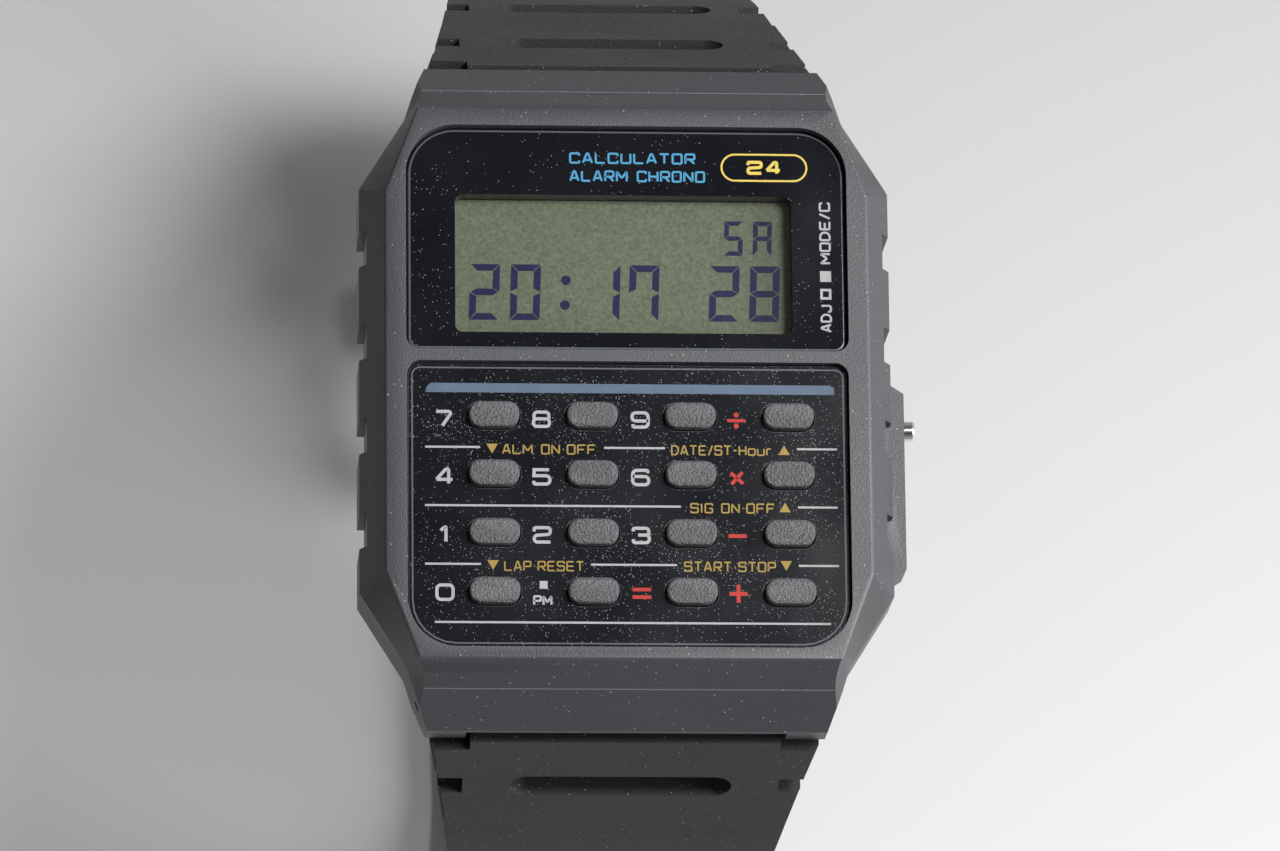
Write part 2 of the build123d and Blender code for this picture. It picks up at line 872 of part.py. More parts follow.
def strap_cuts(path):
    cuts = []
    through = strap_thickness + 2 * overrun
    for index in range(slot_count):
        plane = station_plane(path, slot_station + index * slot_pitch)
        profile = Plane(origin=plane.origin, x_dir=(1, 0, 0), z_dir=plane.y_dir)
        cuts.append(extrude(profile * SlotOverall(slot_length, slot_width), amount=through, both=True))
        share = (slot_station + index * slot_pitch) / strap_mid_length
        half = (strap_shoulder_width - share * (strap_shoulder_width - strap_mid_width)) / 2
        for side in (-1, 1):
            x = side * (half - side_notch_depth / 2 + overrun / 2)
            cuts.append(plane * (Pos(x, 0, 0) * Box(side_notch_depth + overrun, through * 2,
                                                    side_notch_length)))
    return cuts


def bar_hole():
    half = strap_tang_width / 2 + overrun
    return along_x(bar_radius + running_gap, -half, half, pivot_y, pivot_z)


def strap_half(path):
    half = strap_band(path) + strap_pad(path) + strap_tang(path)
    for cut in strap_cuts(path):
        half -= cut
    return half - bar_hole()


def long_path():
    return strap_path(long_lead_angle, long_lead_length, long_side_radius, long_turn_radius,
                      long_turn_angle, long_tail_length)


def short_path():
    return strap_path(short_lead_angle, short_lead_length, short_side_radius, short_turn_radius,
                      short_turn_angle, short_tail_length)


def lower_strap():
    path = long_path()
    strap = strap_half(path)
    for index in range(hole_count):
        plane = station_plane(path, hole_station + index * hole_pitch)
        profile = Plane(origin=plane.origin, x_dir=(1, 0, 0), z_dir=plane.y_dir)
        strap -= extrude(profile * SlotOverall(hole_length, hole_width), amount=strap_thickness,
                         both=True)
    tip = path @ 1
    corners = placed_box(-strap_end_width, strap_end_width, tip.Y - overrun, tip.Y + tip_radius,
                         -overrun, strap_thickness + overrun)
    corners -= upright(tip_radius, -2 * overrun, strap_thickness + 2 * overrun, 0,
                       tip.Y + tip_radius)
    return mirror(strap - corners, about=Plane.XZ)


def pin_frame():
    # The buckle pin's place: X along the pin, Z on past the strap, -Y outwards.
    path = short_path()
    return station_plane(path, strap_shoulder_start + path.length)


def pin_rod(radius, half_length):
    return pin_frame() * (Rot(0, 90, 0) * Cylinder(radius, 2 * half_length))


def pin_box(low_x, high_x, low_out, high_out, low_along, high_along):
    return pin_frame() * placed_box(low_x, high_x, -high_out, -low_out, low_along, high_along)


def upper_strap():
    strap = strap_half(short_path())
    strap += pin_rod(buckle_knuckle_radius, strap_end_width / 2)
    strap -= pin_rod(buckle_pin_radius + running_gap, strap_end_width)
    half = tongue_width / 2 + strap_gap
    depth = strap_thickness + overrun
    reach = tongue_eye_radius + tongue_thickness + 2 * strap_gap
    return strap - pin_box(-half, half, -depth, depth, -reach, buckle_knuckle_radius + overrun)


def keeper():
    inner_x = strap_end_width / 2 + strap_gap + keeper_slack
    inner = strap_thickness / 2 + strap_gap
    outer = strap_thickness / 2 + keeper_room
    low = -keeper_station - keeper_length / 2
    high = -keeper_station + keeper_length / 2
    block = pin_box(-inner_x - keeper_wall, inner_x + keeper_wall, -inner - keeper_wall,
                    outer + keeper_wall, low, high)
    return block - pin_box(-inner_x, inner_x, -inner, outer, low - overrun, high + overrun)


def buckle():
    inner_x = strap_end_width / 2 + strap_gap
    outer_x = inner_x + buckle_bar
    half = buckle_thickness / 2
    frame = pin_box(-outer_x, outer_x, -half, half, -buckle_rear, buckle_reach)
    frame -= pin_box(-inner_x, inner_x, -half - overrun, half + overrun, -buckle_rear - overrun,
                     buckle_reach - buckle_bar)
    return frame - pin_rod(buckle_pin_radius, outer_x - buckle_bar / 4)


def buckle_pin():
    return pin_rod(buckle_pin_radius, strap_end_width / 2 + strap_gap + buckle_bar * 3 / 4)


def tongue():
    # An eye round the pin, and a blade that rests on the frame's front bar.
    half = tongue_width / 2
    rest = buckle_thickness / 2 + tongue_gap
    start = tongue_eye_radius
    points = [
        (0, rest - tongue_thickness / 2), (0, start), (start * 2, rest + tongue_thickness),
        (buckle_reach, rest + tongue_thickness), (buckle_reach, rest), (start * 2, rest),
    ]
    # The profile's X runs along the strap and its Y out of the strap's outer face.
    base = pin_frame()
    side = Plane(origin=base.origin, x_dir=base.z_dir, z_dir=base.x_dir)
    blade = extrude(side * Polygon(*points, align=None), amount=half, both=True)
    eye = pin_rod(tongue_eye_radius, half) + blade
    return eye - pin_rod(buckle_pin_radius + running_gap, strap_end_width)


def all_pieces():
    pieces = {
        "case_body": case_body(),
        "display_window": display_window(),
        "display_mask": display_mask(),
        "keypad_panel": keypad_panel(),
        "key_mat": key_mat(),
        "key_contact_sheet": key_contact_sheet(),
        "lcd_glass": lcd_glass(),
        "lcd_reflector": lcd_reflector(),
        "contact_strip_upper": contact_strip(1),
        "contact_strip_lower": contact_strip(-1),
        "module_frame": module_frame(),
        "circuit_board": circuit_board(),
        "chip": chip(),
        "quartz_crystal": crystal(),
        "coil": coil(),
        "capacitors": capacitors(),
        "insulator": insulator(),
        "battery": battery(),
        "battery_contact": battery_contact(),
        "battery_clamp": battery_clamp(),
        "buzzer_disc": buzzer_disc(),
        "buzzer_spring": buzzer_spring(),
        "button_contacts": button_contacts(),
        "back_gasket": back_gasket(),
        "case_back": case_back(),
        "back_screws": back_screws(),
        "spring_bar_upper": spring_bar(1),
        "spring_bar_lower": spring_bar(-1),
        "upper_strap": upper_strap(),
        "lower_strap": lower_strap(),
        "keeper": keeper(),
        "buckle": buckle(),
        "buckle_pin": buckle_pin(),
        "tongue": tongue(),
    }
    for name, (x, y) in zip(key_names, key_places()):
        pieces["key_" + name] = key(x, y)
    for name, y, reach in (("mode", mode_y, mode_reach), ("adjust", adjust_y, adjust_reach)):
        pieces[name + "_button"] = push_button(y, reach)
        pieces[name + "_button_seal"] = button_seal(y)
        pieces[name + "_button_spring"] = button_spring(y)
        pieces[name + "_button_clip"] = button_clip(y)
    return pieces


os.makedirs("parts", exist_ok=True)
for name, shape in all_pieces().items():
    shape.label = name
    export_step(shape, f"parts/{name}.step")
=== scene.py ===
"""A calculator watch on a pale floor, dressed over its construction model."""
import math

import bmesh
import bpy
from bpy.props import FloatProperty, FloatVectorProperty, IntProperty, PointerProperty
from mathutils import Matrix, Vector


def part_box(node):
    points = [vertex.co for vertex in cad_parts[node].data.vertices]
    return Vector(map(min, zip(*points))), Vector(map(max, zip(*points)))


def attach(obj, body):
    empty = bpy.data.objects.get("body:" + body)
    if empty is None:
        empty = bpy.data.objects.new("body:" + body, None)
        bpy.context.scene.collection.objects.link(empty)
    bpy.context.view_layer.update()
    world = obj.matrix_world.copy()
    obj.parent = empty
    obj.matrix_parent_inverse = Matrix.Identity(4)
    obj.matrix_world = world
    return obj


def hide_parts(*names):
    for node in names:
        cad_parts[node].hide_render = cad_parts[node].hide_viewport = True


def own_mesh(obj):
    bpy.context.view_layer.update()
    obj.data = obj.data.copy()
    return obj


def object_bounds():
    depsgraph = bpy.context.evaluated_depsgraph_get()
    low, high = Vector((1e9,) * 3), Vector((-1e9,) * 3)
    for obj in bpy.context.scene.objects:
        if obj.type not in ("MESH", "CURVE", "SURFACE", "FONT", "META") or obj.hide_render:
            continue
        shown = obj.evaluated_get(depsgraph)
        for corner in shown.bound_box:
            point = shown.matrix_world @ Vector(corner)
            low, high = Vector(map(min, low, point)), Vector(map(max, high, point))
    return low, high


bl_info = {
    "name": "Calculator Watch",
    "version": (1, 0, 0),
    "blender": (4, 5, 0),
    "location": "View3D > Sidebar > Watch",
    "description": "Finishes a calculator watch: resin case, glossy panels, keys and strap",
    "category": "Object",
}

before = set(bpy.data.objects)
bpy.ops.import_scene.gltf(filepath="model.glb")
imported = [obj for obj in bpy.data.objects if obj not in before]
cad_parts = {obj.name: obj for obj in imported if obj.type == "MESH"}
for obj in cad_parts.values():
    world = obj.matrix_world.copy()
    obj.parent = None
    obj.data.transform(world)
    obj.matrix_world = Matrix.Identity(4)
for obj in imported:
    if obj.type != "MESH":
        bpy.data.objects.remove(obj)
cad_low, cad_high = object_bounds()
MM = 0.001
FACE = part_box("case_body")[1].z
WINDOW_LOW, WINDOW_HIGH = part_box("display_window")
KEYPAD_LOW, KEYPAD_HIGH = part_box("keypad_panel")
PANEL_TOP = WINDOW_HIGH.z
DISPLAY_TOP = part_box("lcd_glass")[1].z
KEY_NAMES = ["7", "8", "9", "divide", "4", "5", "6", "multiply",
             "1", "2", "3", "minus", "0", "point", "equals", "plus"]


def distance(name, description, default):
    return FloatProperty(name=name, description=description, default=default, subtype="DISTANCE")


def tint(name, description, *default):
    return FloatVectorProperty(name=name, description=description, default=default,
                               subtype="COLOR")


class WatchSizes(bpy.types.PropertyGroup):
    """Sizes of the printed and displayed detail, in metres"""

    ink_height: distance("Ink height", "How far print stands off its panel", 0.012 * MM)
    line_width: distance("Line width", "Width of the keypad's ruled lines", 0.13 * MM)
    legend_height: distance("Legend height", "Height of the numbers beside the keys", 1.12 * MM)
    digit_height: distance("Digit height", "Height of the display's large digits", 3.62 * MM)
    digit_stroke: distance("Digit stroke", "Width of one display segment", 0.43 * MM)
    edge_round: distance("Edge round", "Rounding of the moulded edges", 0.14 * MM)
    brow_round: distance("Brow round", "Depth pared off where the bezel turns into its slopes",
                         0.05 * MM)
    round_steps: IntProperty(
        name="Round steps", description="Segments across a rounded edge", default=3)


class WatchColours(bpy.types.PropertyGroup):
    """Colours of the finishes"""

    case: tint("Case", "Moulded resin", 0.024, 0.025, 0.0285)
    # The crease colour is paler than the case's: a painted highlight along the fine crease lines.
    crease: tint("Crease", "Lines rubbed pale along the creases", 0.0624, 0.065, 0.0741)
    strap: tint("Strap", "Strap resin", 0.017, 0.017, 0.0195)
    panel: tint("Panel", "Glossy face panels", 0.0025, 0.003, 0.005)
    key: tint("Key", "Key resin", 0.078, 0.078, 0.082)
    display: tint("Display", "Display ground", 0.092, 0.106, 0.068)
    segment: tint("Segment", "Dark display segments", 0.008, 0.01, 0.05)
    floor: tint("Floor", "Floor and backdrop", 0.54, 0.54, 0.537)


def sizes():
    return bpy.context.scene.watch_sizes


# Shader building

# The finishes' layers: how bright, how strong and how fine each one is. FOIL is the display's
# ground: its roughness, its mottle, its darkest and brightest tones, and its shine.
GRAIN_NOISE, GRAIN_PITS = 0.7, 0.3
DRIFTS_PER_METRE, DRIFT_POWER = 230.0, 3.0
# Sharp edges are lightened by pointiness: partly wear, partly a painted highlight.
EDGE_WEAR_AND_HIGHLIGHT_THRESHOLD, EDGE_WEAR_AND_HIGHLIGHT_GAIN = 0.52, 9.0
RESIN_TONES, RESIN_GLOSS = (0.86, 1.14), (0.16, -0.08)
# The resin's lightened edges, wear and painted highlight: the mask's share and the edge tone.
RESIN_EDGE_WEAR_AND_HIGHLIGHT, RESIN_EDGE_WEAR_AND_HIGHLIGHT_TONE = 0.35, 1.9
RESIN_SPECKS = {"Specks_per_metre": 7000.0, "Speck_size": 0.38}
RESIN_DUST, RESIN_DUST_COLOUR = 0.45, (0.4, 0.4, 0.39)
PANEL_SPECKS = {"Specks_per_metre": 12000.0, "Speck_size": 0.44}
PANEL_DUST, PANEL_DUST_COLOUR, PANEL_DUST_ROUGHNESS = 0.38, (0.42, 0.42, 0.42), 0.6
PANEL_HAZE = {"Grain_per_metre": 900.0, "Tone_per_metre": 160.0}
PANEL_FILM, PANEL_FILM_COLOUR, PANEL_GLOSS = 0.012, (0.3, 0.3, 0.32), (0.14, -0.06)
INK_CLOUD = {"Grain_per_metre": 9000.0, "Tone_per_metre": 1500.0}
INK_TONES, INK_SHINE = (0.82, 1.12), 0.15
FOIL = (0.38, {"Grain_per_metre": 7000.0, "Tone_per_metre": 5200.0}, (0.35, 1.75), 0.2)
METAL_TONES, METAL_GLOSS = (0.9, 1.05), (0.12, -0.04)
RINGS_PER_METRE, RING_DISTORTION = 900.0, 0.4
PANE_ALPHA, PANE_ROUGHNESS = 0.07, 0.04
# The sockets of a colour mix, which share their names and so are told by number.
MIX_FACTOR, MIX_FIRST, MIX_SECOND, MIX_RESULT = 0, 6, 7, 2


class Wiring:
    """Adds nodes to one tree and joins them."""

    def __init__(self, tree):
        self.tree = tree

    def add(self, kind, **settings):
        node = self.tree.nodes.new(kind)
        for name, value in settings.items():
            setattr(node, name, value)
        return node

    def put(self, socket, value):
        """Links a socket to another one, or sets its value."""
        if isinstance(value, bpy.types.NodeSocket):
            self.tree.links.new(value, socket)
        else:
            socket.default_value = value

    def feed(self, node, **inputs):
        # A socket's name with its spaces written as underscores.
        for name, value in inputs.items():
            self.put(node.inputs[name.replace("_", " ")], value)
        return node

    def made(self, kind, **inputs):
        """A new node with its sockets fed."""
        return self.feed(self.add(kind), **inputs)

    def place(self):
        """Where a point lies on its object."""
        return self.add("ShaderNodeTexCoord").outputs["Object"]

    def sums(self, operation, first, second, clamp=False):
        node = self.add("ShaderNodeMath", operation=operation, use_clamp=clamp)
        self.put(node.inputs[0], first)
        self.put(node.inputs[1], second)
        return node.outputs[0]

    def plus(self, first, second):
        return self.sums("ADD", first, second)

    def times(self, first, second, clamp=False):
        return self.sums("MULTIPLY", first, second, clamp)


def new_group(name, inputs, outputs):
    group = bpy.data.node_groups.new(name, "ShaderNodeTree")
    for label, default in inputs.items():
        socket = group.interface.new_socket(label, in_out="INPUT", socket_type="NodeSocketFloat")
        socket.default_value = default
    for label in outputs:
        group.interface.new_socket(label, in_out="OUTPUT", socket_type="NodeSocketFloat")
    wiring = Wiring(group)
    start = wiring.add("NodeGroupInput")
    end = wiring.add("NodeGroupOutput")
    return group, wiring, start, end


def grain_group():
    """Moulded grain: a height and a slow tone, from two noises."""
    group, wiring, start, end = new_group(
        "Moulded grain", {"Grain per metre": 4000.0, "Tone per metre": 120.0}, ["Height", "Tone"])
    place = wiring.place()
    fine = wiring.made("ShaderNodeTexNoise", Vector=place, Detail=4.0, Roughness=0.62,
                       Scale=start.outputs["Grain per metre"])
    pits = wiring.made("ShaderNodeTexVoronoi", Vector=place,
                       Scale=start.outputs["Grain per metre"])
    slow = wiring.made("ShaderNodeTexNoise", Vector=place, Detail=3.0,
                       Scale=start.outputs["Tone per metre"])
    height = wiring.plus(wiring.times(fine.outputs["Fac"], GRAIN_NOISE),
                         wiring.times(pits.outputs["Distance"], GRAIN_PITS))
    wiring.feed(end, Height=height, Tone=slow.outputs["Fac"])
    return group


def dust_group():
    """Dust: a mask of sparse pale specks in drifts."""
    group, wiring, start, end = new_group(
        "Dust specks", {"Specks per metre": 2200.0, "Speck size": 0.12, "Cover": 0.5}, ["Mask"])
    place = wiring.place()
    cells = wiring.made("ShaderNodeTexVoronoi", Vector=place,
                        Scale=start.outputs["Specks per metre"])
    lot = wiring.made("ShaderNodeSeparateColor", Color=cells.outputs["Color"])
    drift = wiring.made("ShaderNodeTexNoise", Vector=place, Scale=DRIFTS_PER_METRE, Detail=5.0)
    heaped = wiring.sums("POWER", drift.outputs["Fac"], DRIFT_POWER)
    chance = wiring.times(start.outputs["Cover"], heaped)
    chosen = wiring.sums("LESS_THAN", lot.outputs["Red"], chance)
    size = wiring.times(start.outputs["Speck size"], lot.outputs["Green"])
    near = wiring.sums("LESS_THAN", cells.outputs["Distance"], size)
    wiring.feed(end, Mask=wiring.times(chosen, near))
    return group


def edge_wear_and_highlight_group():
    """Worn and highlit edges: a mask that is bright on sharp outer edges, for wear and a painted
    highlight.
    """
    group, wiring, _, end = new_group("Worn edges", {}, ["Mask"])
    sharp = wiring.add("ShaderNodeNewGeometry").outputs["Pointiness"]
    over = wiring.sums("SUBTRACT", sharp, EDGE_WEAR_AND_HIGHLIGHT_THRESHOLD)
    wiring.feed(end, Mask=wiring.times(over, EDGE_WEAR_AND_HIGHLIGHT_GAIN, clamp=True))
    return group


GROUP_MAKERS = {"Moulded grain": grain_group, "Dust specks": dust_group, "Worn edges": edge_wear_and_highlight_group}


def use_group(wiring, name, **inputs):
    group = bpy.data.node_groups.get(name) or GROUP_MAKERS[name]()
    node = wiring.add("ShaderNodeGroup", node_tree=group)
    return wiring.feed(node, **inputs)


def new_material(name, roughness, metallic=0.0):
    material = bpy.data.materials.new(name)
    material.use_nodes = True
    wiring = Wiring(material.node_tree)
    shader = material.node_tree.nodes["Principled BSDF"]
    wiring.feed(shader, Roughness=roughness, Metallic=metallic)
    return material, wiring, shader


def mix_colour(wiring, mask, low, high):
    node = wiring.add("ShaderNodeMix", data_type="RGBA")
    wiring.put(node.inputs[MIX_FACTOR], mask)
    for number, value in ((MIX_FIRST, low), (MIX_SECOND, high)):
        linked = isinstance(value, bpy.types.NodeSocket)
        wiring.put(node.inputs[number], value if linked else (*value, 1.0))
    return node.outputs[MIX_RESULT]


def scaled(colour, factor):
    return tuple(channel * factor for channel in colour)


def toned(wiring, mask, colour, tones):
    """A colour that a mask takes from one brightness to another."""
    return mix_colour(wiring, mask, scaled(colour, tones[0]), scaled(colour, tones[1]))


def vary_roughness(wiring, mask, roughness, gloss):
    """A roughness that a mask changes: gloss holds the most it adds, and a step down first."""
    most, step = gloss
    return wiring.plus(wiring.times(mask, most), roughness + step)


def ramp(wiring, value, start, end, low, high):
    """A value's way from start to end, as a value from low to high."""
    return wiring.made("ShaderNodeMapRange", Value=value, From_Min=start, From_Max=end,
                       To_Min=low, To_Max=high).outputs["Result"]


def add_bump(wiring, shader, height, depth):
    bump = wiring.made("ShaderNodeBump", Height=height, Distance=depth)
    wiring.feed(shader, Normal=bump.outputs["Normal"])


def resin_material(name, colour, roughness, grain, depth, dust=0.35, shine=0.5):
    """Moulded resin with grain, a slow change of tone, edges lightened for wear and as a painted
    highlight, and dust.
    """
    material, wiring, shader = new_material(name, roughness)
    moulded = use_group(wiring, "Moulded grain", Grain_per_metre=grain)
    body = toned(wiring, moulded.outputs["Tone"], colour, RESIN_TONES)
    # Sharp edges lightened, partly wear and partly a painted highlight.
    edge_wear_and_highlight = use_group(wiring, "Worn edges")
    share = wiring.times(edge_wear_and_highlight.outputs["Mask"], RESIN_EDGE_WEAR_AND_HIGHLIGHT)
    edged = mix_colour(wiring, share, body, scaled(colour, RESIN_EDGE_WEAR_AND_HIGHLIGHT_TONE))
    specks = use_group(wiring, "Dust specks", Cover=dust, **RESIN_SPECKS)
    dusty = wiring.times(specks.outputs["Mask"], RESIN_DUST)
    wiring.feed(shader, Specular_IOR_Level=shine,
                Base_Color=mix_colour(wiring, dusty, edged, RESIN_DUST_COLOUR),
                Roughness=vary_roughness(wiring, moulded.outputs["Tone"], roughness, RESIN_GLOSS))
    add_bump(wiring, shader, moulded.outputs["Height"], depth)
    return material


def panel_material(name, colour, dust, roughness=0.12):
    """Polished black panel with dust lying on it."""
    material, wiring, shader = new_material(name, roughness)
    specks = use_group(wiring, "Dust specks", Cover=dust, **PANEL_SPECKS)
    haze = use_group(wiring, "Moulded grain", **PANEL_HAZE)
    film = wiring.times(haze.outputs["Tone"], PANEL_FILM)
    ground = mix_colour(wiring, film, colour, PANEL_FILM_COLOUR)
    share = wiring.times(specks.outputs["Mask"], PANEL_DUST)
    polished = vary_roughness(wiring, haze.outputs["Tone"], roughness, PANEL_GLOSS)
    dulled = wiring.times(specks.outputs["Mask"], PANEL_DUST_ROUGHNESS)
    wiring.feed(shader, Base_Color=mix_colour(wiring, share, ground, PANEL_DUST_COLOUR),
                Roughness=wiring.plus(polished, dulled))
    return material


def ink_material(name, colour, roughness=0.45, cloud=INK_CLOUD, tones=INK_TONES,
                 shine=INK_SHINE):
    """Printed ink, a little uneven in tone, or the display's ground with its finer mottle."""
    material, wiring, shader = new_material(name, roughness)
    mottle = use_group(wiring, "Moulded grain", **cloud)
    wiring.feed(shader, Specular_IOR_Level=shine,
                Base_Color=toned(wiring, mottle.outputs["Tone"], colour, tones))
    return material


def metal_material(name, colour, roughness, ring_depth=0.0):
    """Bare metal with faint variation, and rings where it was turned."""
    material, wiring, shader = new_material(name, roughness, metallic=1.0)
    patina = use_group(wiring, "Moulded grain", Grain_per_metre=2500.0)
    wiring.feed(shader, Base_Color=toned(wiring, patina.outputs["Tone"], colour, METAL_TONES),
                Roughness=vary_roughness(wiring, patina.outputs["Height"], roughness,
                                         METAL_GLOSS))
    if ring_depth:
        rings = wiring.add("ShaderNodeTexWave", wave_type="RINGS", rings_direction="Z")
        wiring.feed(rings, Vector=wiring.place(), Scale=RINGS_PER_METRE,
                    Distortion=RING_DISTORTION)
        add_bump(wiring, shader, rings.outputs["Fac"], ring_depth)
    return material


def clear_material(name, colour):
    """A thin clear pane: nearly all of it lets the display through."""
    material, wiring, shader = new_material(name, PANE_ROUGHNESS)
    wiring.feed(shader, Base_Color=(*colour, 1.0), Alpha=PANE_ALPHA)
    return material


# Each finish: its maker, its colour or that colour's name, and its own settings.
FINISHES = {
    "Moulded resin": (resin_material, "case", 0.46, 9000.0, 0.024 * MM),
    # The crease lines' paler finish paints the highlight that they catch.
    "Rubbed resin": (resin_material, "crease", 0.4, 9000.0, 0.01 * MM, 0.2),
    "Strap resin": (resin_material, "strap", 0.55, 6000.0, 0.04 * MM, 0.35, 0.28),
    "Buckle resin": (resin_material, "strap", 0.42, 3600.0, 0.012 * MM),
    "Key resin": (resin_material, "key", 0.42, 6500.0, 0.3 * MM, 0.2),
    "Black panel": (panel_material, "panel", 0.35),
    "Dusty panel": (panel_material, "panel", 1.5, 0.16),
    # The panels' rounded edges and rim, far paler than the black panel: a painted highlight and
    # reflection.
    "Panel edge": (panel_material, (0.075, 0.08, 0.095), 0.5, 0.2),
    "Display ground": (ink_material, "display", *FOIL),
    "Display segment": (ink_material, "segment", 0.4),
    "White ink": (ink_material, (0.28, 0.285, 0.29)),
    "Grey ink": (ink_material, (0.27, 0.275, 0.28)),
    "Gold ink": (ink_material, (0.24, 0.165, 0.04)),
    "Yellow ink": (ink_material, (0.46, 0.35, 0.07)),
    "Blue ink": (ink_material, (0.045, 0.2, 0.34)),
    "Red ink": (ink_material, (0.33, 0.026, 0.02)),
    "Slate ink": (ink_material, (0.075, 0.105, 0.15), 0.3),
    "Polished steel": (metal_material, (0.72, 0.72, 0.73), 0.16),
    "Brushed steel": (metal_material, (0.5, 0.5, 0.51), 0.36, 0.004 * MM),
    "Gilt spring": (metal_material, (0.8, 0.6, 0.28), 0.3),
    "Copper wire": (metal_material, (0.7, 0.3, 0.12), 0.35),
    "Circuit board": (panel_material, (0.02, 0.13, 0.05), 0.1, 0.3),
    "Dark rubber": (resin_material, (0.03, 0.03, 0.03), 0.6, 2500.0, 0.02 * MM, 0.0),
    "Pale film": (resin_material, (0.5, 0.47, 0.38), 0.4, 2500.0, 0.004 * MM, 0.0),
    "Pale ceramic": (resin_material, (0.45, 0.36, 0.24), 0.4, 2500.0, 0.002 * MM, 0.0),
    "Clear pane": (clear_material, (0.02, 0.022, 0.022)),
}


def material(name):
    """The finish of this name, made when it is first asked for."""
    if name in bpy.data.materials:
        return bpy.data.materials[name]
    maker, colour, *settings = FINISHES[name]
    if isinstance(colour, str):
        colour = getattr(bpy.context.scene.watch_colours, colour)
    return maker(name, colour, *settings)


# Mesh and piece helpers

SMOOTH_ANGLE = 0.6
MERGE_DISTANCE, FLAT_ANGLE = 0.0005 * MM, math.radians(0.6)
# The planes that pare a brow: how far each leans over and its share of the depth.
BROW_PLANES = ((0.2, 0.62), (0.5, 1.0), (0.8, 0.62))
LEVEL_ABOVE, SLOPE_BETWEEN, LEVEL_SLACK = 0.99, (0.25, 0.98), 0.02 * MM
# The crease where a hood starts: its middle, half its length, and its two directions.
CREASE_Y, CREASE_Z, CREASE_REACH = 19.3 * MM, FACE - 1.8 * MM, 12.76 * MM
CREASE_OUT, CREASE_DOWN = (0.75, 0.66), (0.66, -0.75)
# The mould line's section, out of the crease and along it.
MOULD_LINE_SECTION = ((-0.04, -0.07), (0.02, -0.035), (0.02, 0.035), (-0.04, 0.07))


def new_object(name, data):
    """Adds an object to the scene."""
    item = bpy.data.objects.new(name, data)
    bpy.context.scene.collection.objects.link(item)
    return item


def mesh_of(bm, name):
    """Turns a bmesh into a mesh and frees it."""
    mesh = bpy.data.meshes.new(name)
    bm.to_mesh(mesh)
    bm.free()
    return mesh


def piece_from(bm, name, finish, body, smooth_angle=SMOOTH_ANGLE):
    """Makes an object of a bmesh, finished, riding on a body."""
    bmesh.ops.recalc_face_normals(bm, faces=bm.faces)
    mesh = mesh_of(bm, name)
    mesh.materials.append(material(finish))
    mesh.shade_smooth()
    mesh.set_sharp_from_angle(angle=smooth_angle)
    piece = new_object(name, mesh)
    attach(piece, body)
    return piece


def merged_copy(node):
    """A bmesh of a construction node, its loose triangles joined."""
    bm = bmesh.new()
    bm.from_mesh(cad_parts[node].data)
    bmesh.ops.remove_doubles(bm, verts=bm.verts, dist=MERGE_DISTANCE)
    bmesh.ops.dissolve_limit(bm, angle_limit=FLAT_ANGLE, verts=bm.verts, edges=bm.edges,
                             delimit={"NORMAL"})
    return bm


def pare_brow(bm, height, depth):
    """Rounds off the edges where a level top turns down into a slope, with three planes each."""
    planes = []
    for edge in bm.edges:
        if len(edge.link_faces) != 2 or any(abs(vert.co.z - height) > LEVEL_SLACK
                                            for vert in edge.verts):
            continue
        level, slope = sorted((face.normal.copy() for face in edge.link_faces),
                              key=lambda normal: -normal.z)
        if level.z > LEVEL_ABOVE and SLOPE_BETWEEN[0] < slope.z < SLOPE_BETWEEN[1]:
            middle = (edge.verts[0].co + edge.verts[1].co) / 2
            planes += [(middle, level.lerp(slope, lean).normalized(), share)
                       for lean, share in BROW_PLANES]
    for spot, normal, share in planes:
        cut = bmesh.ops.bisect_plane(bm, geom=bm.verts[:] + bm.edges[:] + bm.faces[:],
                                     plane_co=spot - normal * depth * share, plane_no=normal,
                                     clear_outer=True)["geom_cut"]
        bmesh.ops.edgenet_fill(bm, edges=[item for item in cut
                                          if isinstance(item, bmesh.types.BMEdge)])


def add_mould_line(bm, side):
    """A fine raised line along the crease where a hood starts."""
    outward, down = (Vector((0, side * y, z)) for y, z in (CREASE_OUT, CREASE_DOWN))
    ends = []
    for x in (-CREASE_REACH, CREASE_REACH):
        middle = Vector((x, side * CREASE_Y, CREASE_Z))
        ends.append([bm.verts.new(middle + outward * high * MM + down * along * MM)
                     for high, along in MOULD_LINE_SECTION])
    for start in range(len(MOULD_LINE_SECTION)):
        end = (start + 1) % len(MOULD_LINE_SECTION)
        bm.faces.new((ends[0][start], ends[0][end], ends[1][end], ends[1][start]))
    for ring in ends:
        bm.faces.new(ring)


# A copy is shaded smooth up to the first angle, and its edges are rounded from the second on.
COPY_SMOOTH_ANGLE, ROUNDED_ABOVE = math.radians(13.0), math.radians(22.0)


def rounded_copy(node, name, finish, body, amount, brow=0.0, edge=None):
    """A construction node's shape with its sharp edges rounded, perhaps in a second finish, such
    as the panels' paler edge with its painted highlight.
    """
    bm = merged_copy(node)
    if brow:
        pare_brow(bm, FACE, brow)
    piece = piece_from(bm, name, finish, body, COPY_SMOOTH_ANGLE)
    rounding = piece.modifiers.new("Edge rounding", "BEVEL")
    rounding.width = amount
    rounding.segments = sizes().round_steps
    rounding.limit_method = "ANGLE"
    rounding.angle_limit = ROUNDED_ABOVE
    rounding.use_clamp_overlap = True
    rounding.harden_normals = True
    if edge:
        piece.data.materials.append(material(edge))
        rounding.material = 1
        rounding.segments = 1
    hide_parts(node)
    return piece


def dress(node, finish):
    """Gives a construction node its finish."""
    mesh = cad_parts[node].data
    mesh.materials.clear()
    mesh.materials.append(material(finish))


